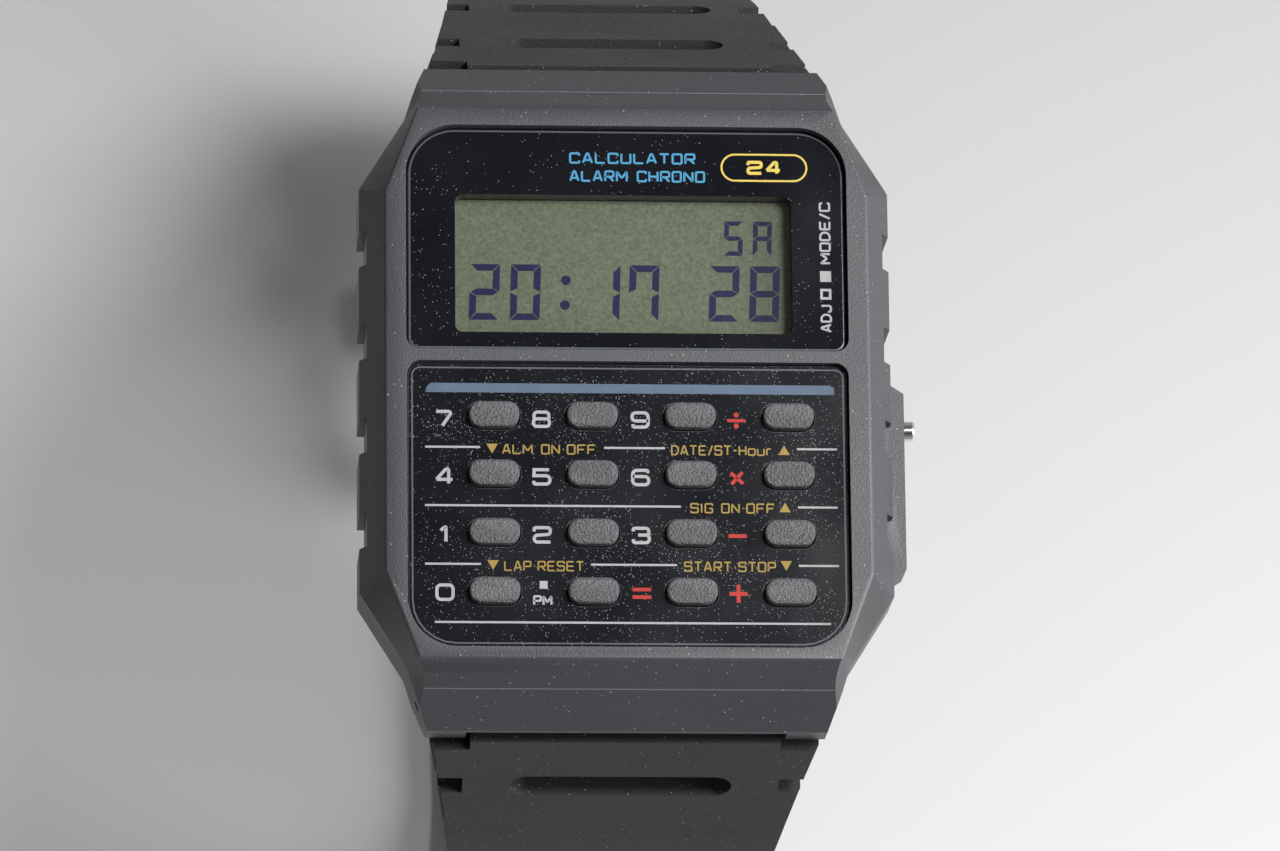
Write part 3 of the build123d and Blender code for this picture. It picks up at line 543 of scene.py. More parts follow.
def cut_away(piece, bm):
    """Cuts a bmesh's shape out of a piece."""
    bmesh.ops.recalc_face_normals(bm, faces=bm.faces)
    cutter = new_object("cutter", mesh_of(bm, "cutter"))
    cut = piece.modifiers.new("Cut", "BOOLEAN")
    cut.operation = "DIFFERENCE"
    cut.object = cutter
    cut.solver = "EXACT"
    baked = bpy.data.meshes.new_from_object(
        piece.evaluated_get(bpy.context.evaluated_depsgraph_get()))
    piece.modifiers.clear()
    piece.data = baked
    bpy.data.objects.remove(cutter)


# Stage

FLOOR_SIZE, FLOOR_DROP, FLOOR_ROUGHNESS, FLOOR_CLOUD = 2.0, 0.2 * MM, 0.75, 0.1
# The floor's painted falloff of light to the rear: where the ramp starts and ends, its range, and
# the darkest tone.
FLOOR_PAINTED_FALLOFF, FLOOR_PAINTED_FALLOFF_TONE = (-0.05, 0.05, 0.0, 0.9), 0.62
# The room's light: how it fades upwards, how it grows to the right, and each kind of ray's share.
ROOM_FADE, ROOM_SIDE = (0.1, 0.85, 0.5, 0.05), (-0.3, 0.8, 0.05, 2.1)
ROOM_SEEN, ROOM_EVEN, ROOM_DIFFUSE = 0.75, 1.2, 0.22
# Each lamp's place from the middle of the face, its size and its power.
LAMPS = (("window lamp", (0.12, 0.03, 0.26), 0.1, 1.0),
         ("side lamp", (0.5, -0.06, 0.22), 0.35, 4.0))
# The camera: its angles round the aim, its lens, and the point of the face that it looks at.
AZIMUTH, ELEVATION, ROLL = (math.radians(angle) for angle in (-15.535, 75.035, -0.605))
CAMERA_LENS, CAMERA_DISTANCE, CAMERA_REACH = 225.866, 0.5, 10.0
CAMERA_AIM = Vector((0.688 * MM, -2.869 * MM, FACE))


def lay_floor(scene):
    """A pale floor, darker to the rear: a painted falloff of light."""
    finish, wiring, shader = new_material("Pale floor", FLOOR_ROUGHNESS)
    cloud = use_group(wiring, "Moulded grain", Grain_per_metre=60.0, Tone_per_metre=3.0)
    place = wiring.made("ShaderNodeSeparateXYZ", Vector=wiring.place())
    # Random cloud plus a painted falloff of light towards the rear.
    cloud_and_painted_falloff = wiring.plus(wiring.times(cloud.outputs["Tone"], FLOOR_CLOUD),
                         ramp(wiring, place.outputs["Y"], *FLOOR_PAINTED_FALLOFF))
    wiring.feed(shader, Base_Color=toned(wiring, cloud_and_painted_falloff, scene.watch_colours.floor,
                                         (1.0, FLOOR_PAINTED_FALLOFF_TONE)))
    bm = bmesh.new()
    bmesh.ops.create_grid(bm, x_segments=1, y_segments=1, size=FLOOR_SIZE,
                          matrix=Matrix.Translation((0, 0, cad_low.z - FLOOR_DROP)))
    mesh = mesh_of(bm, "floor")
    mesh.materials.append(finish)
    floor = new_object("floor", mesh)


def light_room(scene):
    """A pale room: bright at the right in reflections, soft in diffuse light."""
    world = bpy.data.worlds.new("Pale room")
    world.use_nodes = True
    wiring = Wiring(world.node_tree)
    way = wiring.made("ShaderNodeSeparateXYZ",
                      Vector=wiring.add("ShaderNodeTexCoord").outputs["Generated"])
    fade = ramp(wiring, way.outputs["Z"], *ROOM_FADE)
    side = ramp(wiring, way.outputs["X"], *ROOM_SIDE)
    rays = wiring.add("ShaderNodeLightPath")
    shown = wiring.sums("MAXIMUM", rays.outputs["Is Glossy Ray"],
                        rays.outputs["Is Transmission Ray"])
    mirrored = wiring.times(wiring.times(shown, side), fade)
    plain = wiring.times(rays.outputs["Is Camera Ray"], ROOM_SEEN)
    around = wiring.times(wiring.plus(side, ROOM_EVEN), ROOM_DIFFUSE)
    lit = wiring.times(rays.outputs["Is Diffuse Ray"], around)
    total = wiring.plus(wiring.plus(mirrored, plain), lit)
    wiring.feed(world.node_tree.nodes["Background"], Strength=total, Color=(1.0, 1.0, 1.0, 1.0))
    scene.world = world


def hang_lamps():
    """The lamps, each turned to the middle of the face."""
    for name, place, size, power in LAMPS:
        lamp = bpy.data.lights.new(name, "AREA")
        lamp.shape = "DISK"
        lamp.size = size
        lamp.energy = power
        stand = new_object(name, lamp)
        stand.location = Vector((0, 0, FACE)) + Vector(place)
        stand.rotation_euler = (-Vector(place)).to_track_quat("-Z", "Y").to_euler()


def set_camera(scene):
    """The photograph's camera: steep, with a long lens."""
    back = Vector((math.sin(AZIMUTH) * math.cos(ELEVATION),
                   -math.cos(AZIMUTH) * math.cos(ELEVATION), math.sin(ELEVATION)))
    level = Vector((0, 1, 0)).cross(back).normalized()
    rise = back.cross(level)
    right = math.cos(ROLL) * level + math.sin(ROLL) * rise
    up = math.cos(ROLL) * rise - math.sin(ROLL) * level
    camera = bpy.data.cameras.new("camera")
    camera.sensor_width = 36.0
    camera.lens = CAMERA_LENS
    camera.clip_end = CAMERA_REACH
    stand = new_object("camera", camera)
    turn = Matrix((right, up, back)).transposed().to_4x4()
    stand.matrix_world = Matrix.Translation(CAMERA_AIM + back * CAMERA_DISTANCE) @ turn
    scene.camera = stand


# Operators: one for each group of pieces

class WATCH_OT_stage(bpy.types.Operator):
    """Lay the floor, hang the lamps and set the camera"""
    bl_idname = "watch.stage"
    bl_label = "Stage, Lamps and Camera"

    def execute(self, context):
        lay_floor(context.scene)
        light_room(context.scene)
        hang_lamps()
        set_camera(context.scene)
        context.scene.view_settings.view_transform = "Standard"
        return {"FINISHED"}


class WATCH_OT_inside(bpy.types.Operator):
    """Give every piece held inside, and the small outer ones, its finish"""
    bl_idname = "watch.inside"
    bl_label = "Inner Pieces"

    def execute(self, context):
        for finish, nodes in {
                "Dark rubber": ["key_mat", "back_gasket"],
                "Pale film": ["key_contact_sheet", "insulator"],
                "Black panel": ["display_mask", "chip"],
                "Moulded resin": ["module_frame"],
                "Circuit board": ["circuit_board"],
                "Display ground": ["lcd_glass"],
                "Polished steel": ["lcd_reflector", "quartz_crystal", "battery_clamp",
                                   "spring_bar_upper", "spring_bar_lower", "back_screws",
                                   "buckle_pin"],
                "Brushed steel": ["battery", "battery_contact", "case_back", "buzzer_disc",
                                  "button_contacts"],
                "Gilt spring": ["buzzer_spring", "contact_strip_upper", "contact_strip_lower"],
                "Copper wire": ["coil"],
                "Pale ceramic": ["capacitors"]}.items():
            for node in nodes:
                dress(node, finish)
        for button in ("mode_button", "adjust_button"):
            dress(button, "Polished steel")
            dress(button + "_clip", "Polished steel")
            dress(button + "_seal", "Dark rubber")
            node = button + "_spring"
            coil = piece_from(merged_copy(node), button + "_coil", "Polished steel", "case")
            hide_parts(node)
            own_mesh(coil)
        return {"FINISHED"}


class WATCH_OT_case(bpy.types.Operator):
    """Round the edges of the moulded case"""
    bl_idname = "watch.case"
    bl_label = "Case"

    def execute(self, context):
        rounded_copy("case_body", "case_moulding", "Moulded resin", "case",
                     sizes().edge_round, brow=sizes().brow_round)
        # The fine crease lines take the paler crease finish, a painted highlight.
        for side, name in ((1, "upper_mould_line"), (-1, "lower_mould_line")):
            bm = bmesh.new()
            add_mould_line(bm, side)
            piece_from(bm, name, "Rubbed resin", "case")
        return {"FINISHED"}


# The strap's rounding as a share of the case's, and the tongue's as a share of the strap's.
STRAP_ROUND, TONGUE_ROUND = 1.6, 0.6


class WATCH_OT_strap(bpy.types.Operator):
    """Round the strap halves, the keeper, the buckle and its tongue"""
    bl_idname = "watch.strap"
    bl_label = "Strap"

    def execute(self, context):
        amount = sizes().edge_round * STRAP_ROUND
        for node, name in (("upper_strap", "short_strap_half"), ("lower_strap", "long_strap_half"),
                           ("keeper", "strap_keeper")):
            rounded_copy(node, name, "Strap resin", node, amount)
        rounded_copy("buckle", "buckle_frame", "Buckle resin", "buckle", amount)
        rounded_copy("tongue", "buckle_tongue", "Buckle resin", "tongue",
                     amount * TONGUE_ROUND)
        return {"FINISHED"}


PANEL_ROUND, KEY_ROUND = 0.24 * MM, 0.34 * MM
# The clear pane's two faces, below the panels' top.
PANE_DEPTHS = (0.16 * MM, 0.02 * MM)
# The pale rim round the keypad, a painted highlight line: how far in, how wide, its corners, and
# its depth and height.
RIM_INSET, RIM_WIDTH, RIM_RADII = 0.26, 0.1, (2.7, 2.7, 0.5, 0.5)
RIM_DEPTH, RIM_RISE = 0.01 * MM, 0.006 * MM
APERTURE_LEFT, APERTURE_RIGHT = -10.78 * MM, 10.40 * MM
APERTURE_BOTTOM, APERTURE_TOP = 3.18 * MM, 12.20 * MM
APERTURE_CORNER = 0.6 * MM


def aperture(bottom, top):
    """The display opening's block as a bmesh, its upright corners rounded."""
    bm = bmesh.new()
    low = Vector((APERTURE_LEFT, APERTURE_BOTTOM, bottom))
    high = Vector((APERTURE_RIGHT, APERTURE_TOP, top))
    place = Matrix.Translation((low + high) / 2) @ Matrix.Diagonal((*(high - low), 1.0))
    verts = bmesh.ops.create_cube(bm, size=1.0, matrix=place)["verts"]
    upright = {edge for vert in verts for edge in vert.link_edges
               if abs(edge.verts[0].co.z - edge.verts[1].co.z) > 0.001 * MM}
    bmesh.ops.bevel(bm, geom=list(upright), offset=APERTURE_CORNER, offset_type="OFFSET",
                    segments=6, profile=0.5, affect="EDGES", material=-1, clamp_overlap=True)
    return bm


class WATCH_OT_window(bpy.types.Operator):
    """Make the display window: a black border round a clear pane"""
    bl_idname = "watch.window"
    bl_label = "Display Window"

    def execute(self, context):
        # The border's rounded edge is paler, a painted highlight.
        border = rounded_copy("display_window", "window_border", "Black panel", "case",
                              PANEL_ROUND, edge="Panel edge")
        cut_away(border, aperture(WINDOW_LOW.z - MM, WINDOW_HIGH.z + MM))
        bottom, top = (PANEL_TOP - depth for depth in PANE_DEPTHS)
        pane = piece_from(aperture(bottom, top), "window_pane", "Clear pane", "case")
        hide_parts("display_window")
        return {"FINISHED"}


class WATCH_OT_keypad(bpy.types.Operator):
    """Finish the keypad panel and the sixteen keys"""
    bl_idname = "watch.keypad"
    bl_label = "Keypad"

    def execute(self, context):
        # The keypad face's rounded edge is paler, a painted highlight.
        rounded_copy("keypad_panel", "keypad_face", "Dusty panel", "case",
                     PANEL_ROUND, edge="Panel edge")
        left, low = KEYPAD_LOW.x / MM + RIM_INSET, KEYPAD_LOW.y / MM + RIM_INSET
        right, high = KEYPAD_HIGH.x / MM - RIM_INSET, KEYPAD_HIGH.y / MM - RIM_INSET
        # A thin pale line inside the keypad's edge: a painted highlight.
        rim = Relief(PANEL_TOP - RIM_DEPTH, PANEL_TOP + RIM_RISE)
        rim.strokes([[(left, low), (right, low), (right, high), (left, high), (left, low)]],
                    RIM_WIDTH, RIM_RADII)
        rim.piece("keypad_rim", "Panel edge", "face_panel")
        for key in KEY_NAMES:
            node = "key_" + key
            rounded_copy(node, node + "_cap", "Key resin", node, KEY_ROUND)
        return {"FINISHED"}


# Printed marks and the display

# Square-cut letters as strokes in a box one wide and one high.
O_SHAPE = [(0, 0), (0, 1), (1, 1), (1, 0), (0, 0)]
P_SHAPE = [(0, 0), (0, 1), (1, 1), (1, 0.45), (0, 0.45)]
STROKES = {
    "0": [O_SHAPE], "O": [O_SHAPE], "P": [P_SHAPE],
    "1": [[(0.1, 0.76), (0.5, 1), (0.62, 1), (0.62, 0)]],
    "2": [[(0, 0.74), (0, 1), (1, 1), (1, 0.54), (0, 0.46), (0, 0), (1, 0)]],
    "3": [[(0, 0.78), (0, 1), (0.97, 1), (0.97, 0.53)],
          [(0.3, 0.53), (1, 0.53), (1, 0), (0, 0), (0, 0.24)]],
    "4": [[(0.76, 0), (0.76, 1), (0.58, 1), (0, 0.28)], [(0, 0.28), (1, 0.28)]],
    "5": [[(0.95, 1), (-0.08, 1)], [(0.03, 1), (0, 0.6)],
          [(-0.1, 0.58), (1, 0.58), (1, 0), (0, 0), (0, 0.22)]],
    "6": [[(0.95, 0.8), (0.95, 1), (0, 1), (0, 0), (1, 0), (1, 0.57), (0, 0.57)]],
    "7": [[(0, 1), (1, 1), (0.38, 0)]],
    "8": [[(0.04, 0.53), (0.04, 1), (0.96, 1), (0.96, 0.53)],
          [(0, 0.53), (0, 0), (1, 0), (1, 0.53), (0, 0.53)]],
    "9": [[(0.05, 0.2), (0.05, 0), (1, 0), (1, 1), (0, 1), (0, 0.43), (1, 0.43)]],
    "A": [[(0, 0), (0.42, 1), (0.58, 1), (1, 0)], [(0.14, 0.3), (0.86, 0.3)]],
    "C": [[(1, 0.75), (1, 1), (0, 1), (0, 0), (1, 0), (1, 0.25)]],
    "D": [[(0, 0), (0, 1)], [(0, 1), (0.66, 1), (1, 0.7), (1, 0.3), (0.66, 0), (0, 0)]],
    "E": [[(1, 1), (0, 1), (0, 0), (1, 0)], [(0, 0.5), (0.85, 0.5)]],
    "F": [[(1, 1), (0, 1), (0, 0)], [(0, 0.5), (0.85, 0.5)]],
    "G": [[(1, 0.78), (1, 1), (0, 1), (0, 0), (1, 0), (1, 0.48), (0.55, 0.48)]],
    "H": [[(0, 0), (0, 1)], [(1, 0), (1, 1)], [(0, 0.5), (1, 0.5)]],
    "I": [[(0.5, 0), (0.5, 1)]], "J": [[(1, 1), (1, 0), (0, 0), (0, 0.3)]],
    "L": [[(0, 1), (0, 0), (1, 0)]],
    "M": [[(0, 0), (0, 1), (0.5, 0.3), (1, 1), (1, 0)]],
    "N": [[(0, 0), (0, 1), (1, 0), (1, 1)]],
    "R": [P_SHAPE, [(0.45, 0.45), (1, 0)]],
    "S": [[(1, 0.78), (1, 1), (0, 1), (0, 0.53), (1, 0.53), (1, 0), (0, 0), (0, 0.22)]],
    "T": [[(0, 1), (1, 1)], [(0.5, 1), (0.5, 0)]],
    "U": [[(0, 1), (0, 0), (1, 0), (1, 1)]],
    "o": [[(0, 0), (0, 0.7), (1, 0.7), (1, 0), (0, 0)]],
    "u": [[(0, 0.7), (0, 0), (1, 0), (1, 0.7)]], "r": [[(0, 0), (0, 0.7), (0.9, 0.7)]],
    "/": [[(0, -0.05), (1, 1.05)]], "-": [[(0, 0.5), (1, 0.5)]],
    "·": [[(0.3, 0.5), (0.7, 0.5)]], " ": [],
}
WIDTHS = {"I": 0.2, " ": 0.5, "·": 0.3, "/": 0.6, "-": 0.5, "M": 1.2, "r": 0.7, "J": 0.85}
LETTER_SPACE = 0.42
# The points of a rounded corner, the most of a side that it takes, and a crossing's least width.
CORNER_STEPS, CORNER_SHARE, CORNER_SQUEEZE = 6, 1 / 2.2, 0.5
# Strokes lie on this many levels, so that no two tops are level where they cross.
STROKE_LEVELS, STROKE_STEP = 4, 0.0008 * MM


def written(words, left, low, right, high, stroke, turned=False):
    """The strokes of some words that fill a box, read upwards if turned."""
    total = sum(WIDTHS.get(letter, 1.0) for letter in words) + LETTER_SPACE * (len(words) - 1)
    along, rise = (high - low, right - left) if turned else (right - left, high - low)
    unit = (along - stroke) / total
    paths, start = [], stroke / 2
    for letter in words:
        wide = WIDTHS.get(letter, 1.0) * unit
        for path in STROKES[letter]:
            places = [(start + x * wide, stroke / 2 + y * (rise - stroke)) for x, y in path]
            paths.append([(right - y, low + x) if turned else (left + x, low + y)
                          for x, y in places])
        start += wide + LETTER_SPACE * unit
    return paths


def rounded_line(places, closed, rounding):
    """The points of a line with its corners rounded, each alike or each by its own radius."""
    line = []
    radii = [rounding] * len(places) if isinstance(rounding, float) else rounding
    for index, place in enumerate(places):
        if not closed and index in (0, len(places) - 1):
            line.append(place)
            continue
        back = places[index - 1] - place
        ahead = places[(index + 1) % len(places)] - place
        cut = min(radii[index], back.length * CORNER_SHARE, ahead.length * CORNER_SHARE)
        for step in range(CORNER_STEPS + 1):
            turn = math.pi / 2 * step / CORNER_STEPS
            line.append(place + back.normalized() * cut * (1 - math.sin(turn))
                        + ahead.normalized() * cut * (1 - math.cos(turn)))
    return line


SEGMENTS = {"0": "abcdef", "1": "bc", "2": "abged", "7": "fabc", "8": "abcdefg",
            "S": "afgcd", "A": "efabgc"}
SEGMENT_GAP, SLANT = 0.09, 0.035


class Relief:
    """Raised print between two heights, its places in millimetres on the face."""

    def __init__(self, bottom, top=None):
        self.bm = bmesh.new()
        self.bottom = bottom
        self.top = bottom + sizes().ink_height if top is None else top

    def piece(self, name, finish, slot="black_print"):
        return piece_from(self.bm, name, finish, "case")

    def place(self, x, y):
        return Matrix.Translation((x * MM, y * MM, (self.bottom + self.top) / 2))

    def bar(self, x, y, length, width, angle=0.0):
        """A straight bar, lying at an angle."""
        shape = Matrix.Diagonal((length * MM, width * MM, self.top - self.bottom, 1.0))
        turn = Matrix.Rotation(math.radians(angle), 4, "Z")
        bmesh.ops.create_cube(self.bm, size=1.0, matrix=self.place(x, y) @ turn @ shape)

    def dot(self, x, y, radius):
        bmesh.ops.create_cone(self.bm, cap_ends=True, segments=28, radius1=radius * MM,
                              radius2=radius * MM, depth=self.top - self.bottom,
                              matrix=self.place(x, y))

    def raise_faces(self, faces):
        """Draws flat faces up into solid shapes."""
        grown = bmesh.ops.extrude_face_region(self.bm, geom=faces)["geom"]
        lifted = [item for item in grown if isinstance(item, bmesh.types.BMVert)]
        bmesh.ops.translate(self.bm, verts=lifted, vec=(0, 0, self.top - self.bottom))

    def plate(self, corners):
        """One flat plate with the given outline."""
        verts = [self.bm.verts.new((x * MM, y * MM, self.bottom)) for x, y in corners]
        self.raise_faces([self.bm.faces.new(verts)])

    def arrow(self, x, y, width, height, up):
        """A small triangle that points up or down the face."""
        tip = height / 2 if up else -height / 2
        self.plate([(x - width / 2, y - tip), (x + width / 2, y - tip), (x, y + tip)])

    def pill(self, left, low, right, high, width):
        """An outlined pill shape of a given line width."""
        radius = (high - low) / 2
        middle = Matrix.Translation(((left + right) / 2 * MM, (low + high) / 2 * MM, self.bottom))
        disc = bmesh.ops.create_circle(self.bm, cap_ends=True, segments=48, radius=radius * MM,
                                       matrix=middle)["verts"]
        stretch = ((right - left) / 2 - radius) * MM
        for vert in disc:
            side = vert.co.x - middle.translation.x
            if abs(side) > 0.0001 * MM:
                vert.co.x += math.copysign(stretch, side)
        face = disc[0].link_faces[0]
        bmesh.ops.inset_individual(self.bm, faces=[face], thickness=width * MM,
                                   use_even_offset=True)
        bmesh.ops.delete(self.bm, geom=[face], context="FACES_ONLY")
        self.raise_faces(self.bm.faces[:])

    def strokes(self, paths, width, rounding):
        """Raised strokes of even width along some paths, their corners rounded."""
        for number, path in enumerate(paths):
            crest = self.top + number % STROKE_LEVELS * STROKE_STEP
            closed = path[0] == path[-1]
            places = [Vector(place) for place in (path[:-1] if closed else path)]
            line = rounded_line(places, closed, rounding)
            rims = []
            for index, place in enumerate(line):
                back = place - line[index - 1] if closed or index else None
                ahead = (line[(index + 1) % len(line)] - place
                         if closed or index < len(line) - 1 else None)
                back, ahead = (back or ahead).normalized(), (ahead or back).normalized()
                across = Vector((-back.y - ahead.y, back.x + ahead.x)).normalized()
                reach = width / 2 / max(CORNER_SQUEEZE, across.dot(Vector((-back.y, back.x))))
                rims.append([self.bm.verts.new((spot.x * MM, spot.y * MM, height))
                             for height in (self.bottom, crest)
                             for spot in (place + across * reach, place - across * reach)])
            for here, there in zip(rims, rims[1:] + rims[:1] if closed else rims[1:]):
                for low, high in ((2, 3), (1, 0), (0, 2), (3, 1)):
                    self.bm.faces.new((here[low], here[high], there[high], there[low]))
            if not closed:
                for rim in (rims[0], rims[-1]):
                    self.bm.faces.new((rim[0], rim[1], rim[3], rim[2]))

    def words(self, rows, width, rounding, turned=False):
        """Some words, each in its own box, in strokes of one width."""
        self.strokes([path for row in rows for path in written(*row, width, turned)], width,
                     rounding)

    def figure(self, glyph, left, low, width, height, stroke):
        """One seven-segment figure: bars with mitred ends and thin gaps."""
        gap = stroke * SEGMENT_GAP
        middle = height / 2
        half = stroke / 2
        shapes = {
            "a": [(gap, height), (width - gap, height), (width - stroke - gap, height - stroke),
                  (stroke + gap, height - stroke)],
            "f": [(0, height - gap), (stroke, height - stroke - gap),
                  (stroke, middle + half + gap), (0, middle + gap)],
            "g": [(gap * 2, middle), (stroke, middle + half), (width - stroke, middle + half),
                  (width - gap * 2, middle), (width - stroke, middle - half),
                  (stroke, middle - half)],
        }
        for new, old in (("d", "a"), ("e", "f")):
            shapes[new] = [(x, height - y) for x, y in shapes[old]]
        for new, old in (("b", "f"), ("c", "e")):
            shapes[new] = [(width - x, y) for x, y in shapes[old]]
        for segment in SEGMENTS[glyph]:
            self.plate([(left + x + y * SLANT, low + y) for x, y in shapes[segment]])


# The display's rows: each figure and its left side, then the row's foot and figure width.
TIME_ROW = ((("2", -9.86), ("0", -7.29), ("1", -2.28), ("7", 0.17), ("2", 5.22), ("8", 7.76)),
            4.40, 1.87)
DAY_ROW = ((("S", 6.22), ("A", 8.04)), 8.70, 1.18)
# The day's figures against the time's.
DAY_HEIGHT, DAY_STROKE = 0.62, 0.68
COLON_DOTS, COLON_RADIUS = ((-3.73, 7.01), (-3.81, 5.39)), 0.31


class WATCH_OT_display(bpy.types.Operator):
    """Show the time and the date on the display"""
    bl_idname = "watch.display"
    bl_label = "Display Figures"

    def execute(self, context):
        tall = sizes().digit_height / MM
        stroke = sizes().digit_stroke / MM
        figures = Relief(DISPLAY_TOP)
        for (row, low, width), height, thick in (
                (TIME_ROW, tall, stroke), (DAY_ROW, tall * DAY_HEIGHT, stroke * DAY_STROKE)):
            for glyph, left in row:
                figures.figure(glyph, left, low, width, height, thick)
        for x, y in COLON_DOTS:
            figures.dot(x, y, COLON_RADIUS)
        figures.piece("display_figures", "Display segment")
        return {"FINISHED"}


# The keypad's print, as rows and columns, stroke widths and corner roundings.
LEGEND_ROWS = (-2.36, -6.06, -9.77, -13.46)
LEGEND_COLUMNS = (-11.48, -5.42, 0.74, 6.75)
RULED_ROWS = ((-4.17, ((-12.68, -9.26), (-1.53, 2.28), (10.53, 13.04))),
              (-7.91, ((-12.70, 3.23), (10.54, 13.02))),
              (-11.65, ((-12.71, -9.24), (-2.41, 2.94), (10.54, 13.04))),
              (-15.35, ((-12.11, 12.48),)))
NUMBER_STROKE, NUMBER_ROUNDING = 0.2, 0.26
NUMBER_REACH, ONE_REACH = 0.6, 0.42
# The point key's square mark and the small word under it, from the number's place.
POINT_MARK, POINT_SIZE = (0.06, 0.5), 0.5
POINT_WORD, POINT_STROKE, POINT_ROUNDING = (-0.6, -0.82, 0.6, -0.16), 0.13, 0.07
# The signs: a bar's length and width, and what stands off its middle.
SIGN_LENGTH, SIGN_WIDTH = 1.14, 0.24
DIVIDE_WIDTH, DIVIDE_DOT, DIVIDE_RADIUS = 0.2, 0.36, 0.16
TIMES_ANGLES, TIMES_REACH, TIMES_ARM = (48.0, 138.0, 228.0, 318.0), 0.29, (0.46, 0.22)
EQUALS_OFFSET, EQUALS_BAR = 0.24, (1.16, 0.23)
PLUS_OFFSET, PLUS_ARM = 0.345, (0.24, 0.45)
# The gold words: left and right ends and middle height, and the arrows beside them.
GOLD_WORDS = (("ALM ON·OFF", -7.89, -2.03, -4.29), ("DATE/ST-Hour", 2.65, 8.97, -4.29),
              ("SIG ON·OFF", 3.80, 9.10, -8.0), ("LAP·RESET", -7.81, -2.84, -11.76),
              ("START·STOP", 3.38, 9.11, -11.74))
GOLD_HALF, GOLD_STROKE, GOLD_ROUNDING = 0.33, 0.095, 0.07
ARROWS = ((-8.51, -4.26, False), (9.72, -4.24, True), (9.73, -7.92, True),
          (-8.49, -11.71, False), (9.75, -11.66, False))
ARROW_SIZE = (0.72, 0.62)
BAR_OUTLINE = ((-12.66, -0.66), (12.92, -0.66), (12.92, -0.2), (12.62, -0.06), (-12.3, -0.06),
               (-12.56, -0.3))


def add_signs(signs):
    """The signs of divide, times, minus, equals and plus."""
    x = LEGEND_COLUMNS[3]
    divide, times, minus, plus = LEGEND_ROWS
    signs.bar(x, divide, SIGN_LENGTH, DIVIDE_WIDTH)
    for offset in (-DIVIDE_DOT, DIVIDE_DOT):
        signs.dot(x, divide + offset, DIVIDE_RADIUS)
    for angle in TIMES_ANGLES:
        turn = math.radians(angle)
        signs.bar(x + TIMES_REACH * math.cos(turn), times + TIMES_REACH * math.sin(turn),
                  *TIMES_ARM, angle)
    signs.bar(x, minus, SIGN_LENGTH, SIGN_WIDTH)
    for offset in (-EQUALS_OFFSET, EQUALS_OFFSET):
        signs.bar(LEGEND_COLUMNS[2], plus + offset, *EQUALS_BAR)
    signs.bar(x, plus, SIGN_LENGTH, SIGN_WIDTH)
    for offset in (-PLUS_OFFSET, PLUS_OFFSET):
        signs.bar(x, plus + offset, *PLUS_ARM)


class WATCH_OT_legends(bpy.types.Operator):
    """Print the keypad: numbers, signs, ruled lines, gold words and the bar"""
    bl_idname = "watch.legends"
    bl_label = "Keypad Print"

    def execute(self, context):
        level = KEYPAD_HIGH.z
        half = sizes().legend_height / MM / 2
        rows = []
        for numbers, y in zip(("789", "456", "123", "0"), LEGEND_ROWS):
            for number, x in zip(numbers, LEGEND_COLUMNS):
                reach = ONE_REACH if number == "1" else NUMBER_REACH
                rows.append((number, x - reach, y - half, x + reach, y + half))
        numbers = Relief(level)
        numbers.words(rows, NUMBER_STROKE, NUMBER_ROUNDING)
        x, y = LEGEND_COLUMNS[1], LEGEND_ROWS[3]
        numbers.bar(x + POINT_MARK[0], y + POINT_MARK[1], POINT_SIZE, POINT_SIZE)
        left, low, right, high = POINT_WORD
        numbers.words([("PM", x + left, y + low, x + right, y + high)], POINT_STROKE,
                      POINT_ROUNDING)
        numbers.piece("keypad_numbers", "White ink")

        lines = Relief(level)
        for y, spans in RULED_ROWS:
            for start, end in spans:
                lines.bar((start + end) / 2, y, end - start, sizes().line_width / MM)
        lines.piece("keypad_lines", "Grey ink")

        signs = Relief(level)
        add_signs(signs)
        signs.piece("keypad_signs", "Red ink")

        words = Relief(level)
        words.words([(text, left, y - GOLD_HALF, right, y + GOLD_HALF)
                     for text, left, right, y in GOLD_WORDS], GOLD_STROKE, GOLD_ROUNDING)
        for x, y, up in ARROWS:
            words.arrow(x, y, *ARROW_SIZE, up)
        words.piece("keypad_words", "Gold ink")

        bar = Relief(level)
        bar.plate(BAR_OUTLINE)
        bar.piece("keypad_bar", "Slate ink")
        return {"FINISHED"}


# The window's print: boxes of words as left, foot, right and head.
PLAIN_WORDS = (("CALCULATOR", -3.56, 14.24, 4.40, 14.98),
               ("ALARM CHRONO", -3.56, 13.06, 5.0, 13.82))
MARK_WORDS = (("MODE/C", 12.14, 7.82, 12.86, 11.86), ("ADJ", 12.14, 3.38, 12.86, 5.18))
BORDER_STROKE, BORDER_ROUNDING = 0.13, 0.09
PILL, PILL_WIDTH = (5.98, 13.16, 11.46, 15.0), 0.12
PILL_WORD, PILL_STROKE, PILL_ROUNDING = ("24", 7.62, 13.62, 9.82, 14.54), 0.2, 0.12
# The button marks: one full square, and one drawn with four bars.
FULL_MARK, OPEN_MARK, MARK_SIZE = (12.50, 7.02), (12.50, 5.87), 0.70
MARK_OFFSET, MARK_STROKE, MARK_INNER = 0.27, 0.16, 0.38


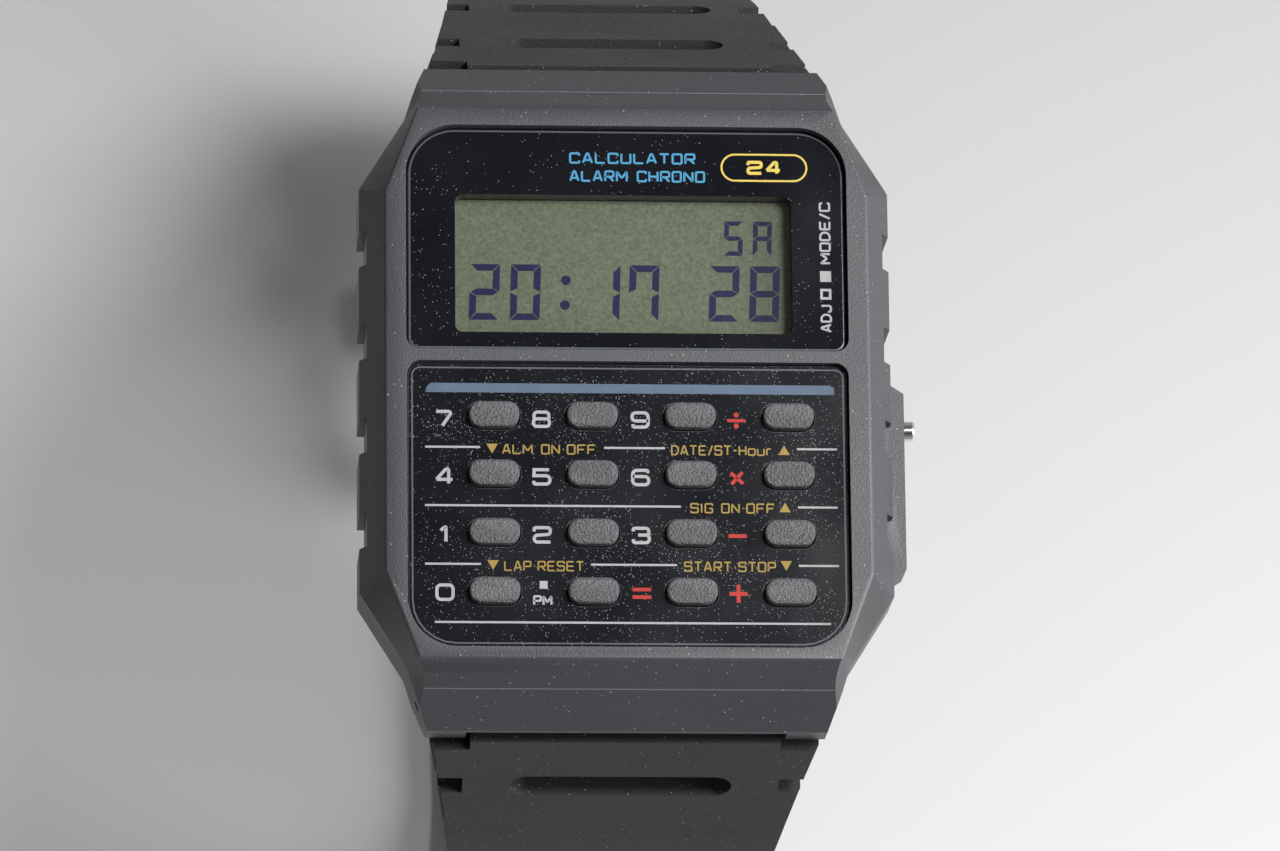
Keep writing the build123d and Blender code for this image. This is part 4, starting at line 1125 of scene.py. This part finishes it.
class WATCH_OT_face_print(bpy.types.Operator):
    """Print the window's border: plain words, a numbered pill and the button marks"""
    bl_idname = "watch.face_print"
    bl_label = "Window Print"

    def execute(self, context):
        words = Relief(PANEL_TOP)
        words.words(PLAIN_WORDS, BORDER_STROKE, BORDER_ROUNDING)
        words.piece("window_words", "Blue ink")

        badge = Relief(PANEL_TOP)
        badge.pill(*PILL, PILL_WIDTH)
        badge.words([PILL_WORD], PILL_STROKE, PILL_ROUNDING)
        badge.piece("window_badge", "Yellow ink")

        marks = Relief(PANEL_TOP)
        marks.words(MARK_WORDS, BORDER_STROKE, BORDER_ROUNDING, turned=True)
        marks.bar(*FULL_MARK, MARK_SIZE, MARK_SIZE)
        x, y = OPEN_MARK
        for offset in (-MARK_OFFSET, MARK_OFFSET):
            marks.bar(x + offset, y, MARK_STROKE, MARK_SIZE)
            marks.bar(x, y + offset, MARK_INNER, MARK_STROKE)
        marks.piece("button_marks", "White ink")
        return {"FINISHED"}


OPERATORS = (WATCH_OT_stage, WATCH_OT_inside, WATCH_OT_case, WATCH_OT_strap, WATCH_OT_window,
             WATCH_OT_keypad, WATCH_OT_display, WATCH_OT_legends, WATCH_OT_face_print)


class WATCH_PT_panel(bpy.types.Panel):
    """Shows the watch's sizes and colours, and a button for each group of pieces"""
    bl_idname = "WATCH_PT_panel"
    bl_label = "Calculator Watch"
    bl_space_type = "VIEW_3D"
    bl_region_type = "UI"
    bl_category = "Watch"

    def draw(self, context):
        for holder in (context.scene.watch_sizes, context.scene.watch_colours):
            for name in holder.__annotations__:
                self.layout.prop(holder, name)
        for operator in OPERATORS:
            self.layout.operator(operator.bl_idname)


CLASSES = (WatchSizes, WatchColours, *OPERATORS, WATCH_PT_panel)


def register():
    for each in CLASSES:
        bpy.utils.register_class(each)
    bpy.types.Scene.watch_sizes = PointerProperty(type=WatchSizes)
    bpy.types.Scene.watch_colours = PointerProperty(type=WatchColours)


def unregister():
    del bpy.types.Scene.watch_colours
    del bpy.types.Scene.watch_sizes
    for each in reversed(CLASSES):
        bpy.utils.unregister_class(each)


def main():
    register()
    bpy.ops.watch.stage()
    bpy.ops.watch.inside()
    bpy.ops.watch.case()
    bpy.ops.watch.strap()
    bpy.ops.watch.window()
    bpy.ops.watch.keypad()
    bpy.ops.watch.display()
    bpy.ops.watch.legends()
    bpy.ops.watch.face_print()


if __name__ == "__main__":
    main()
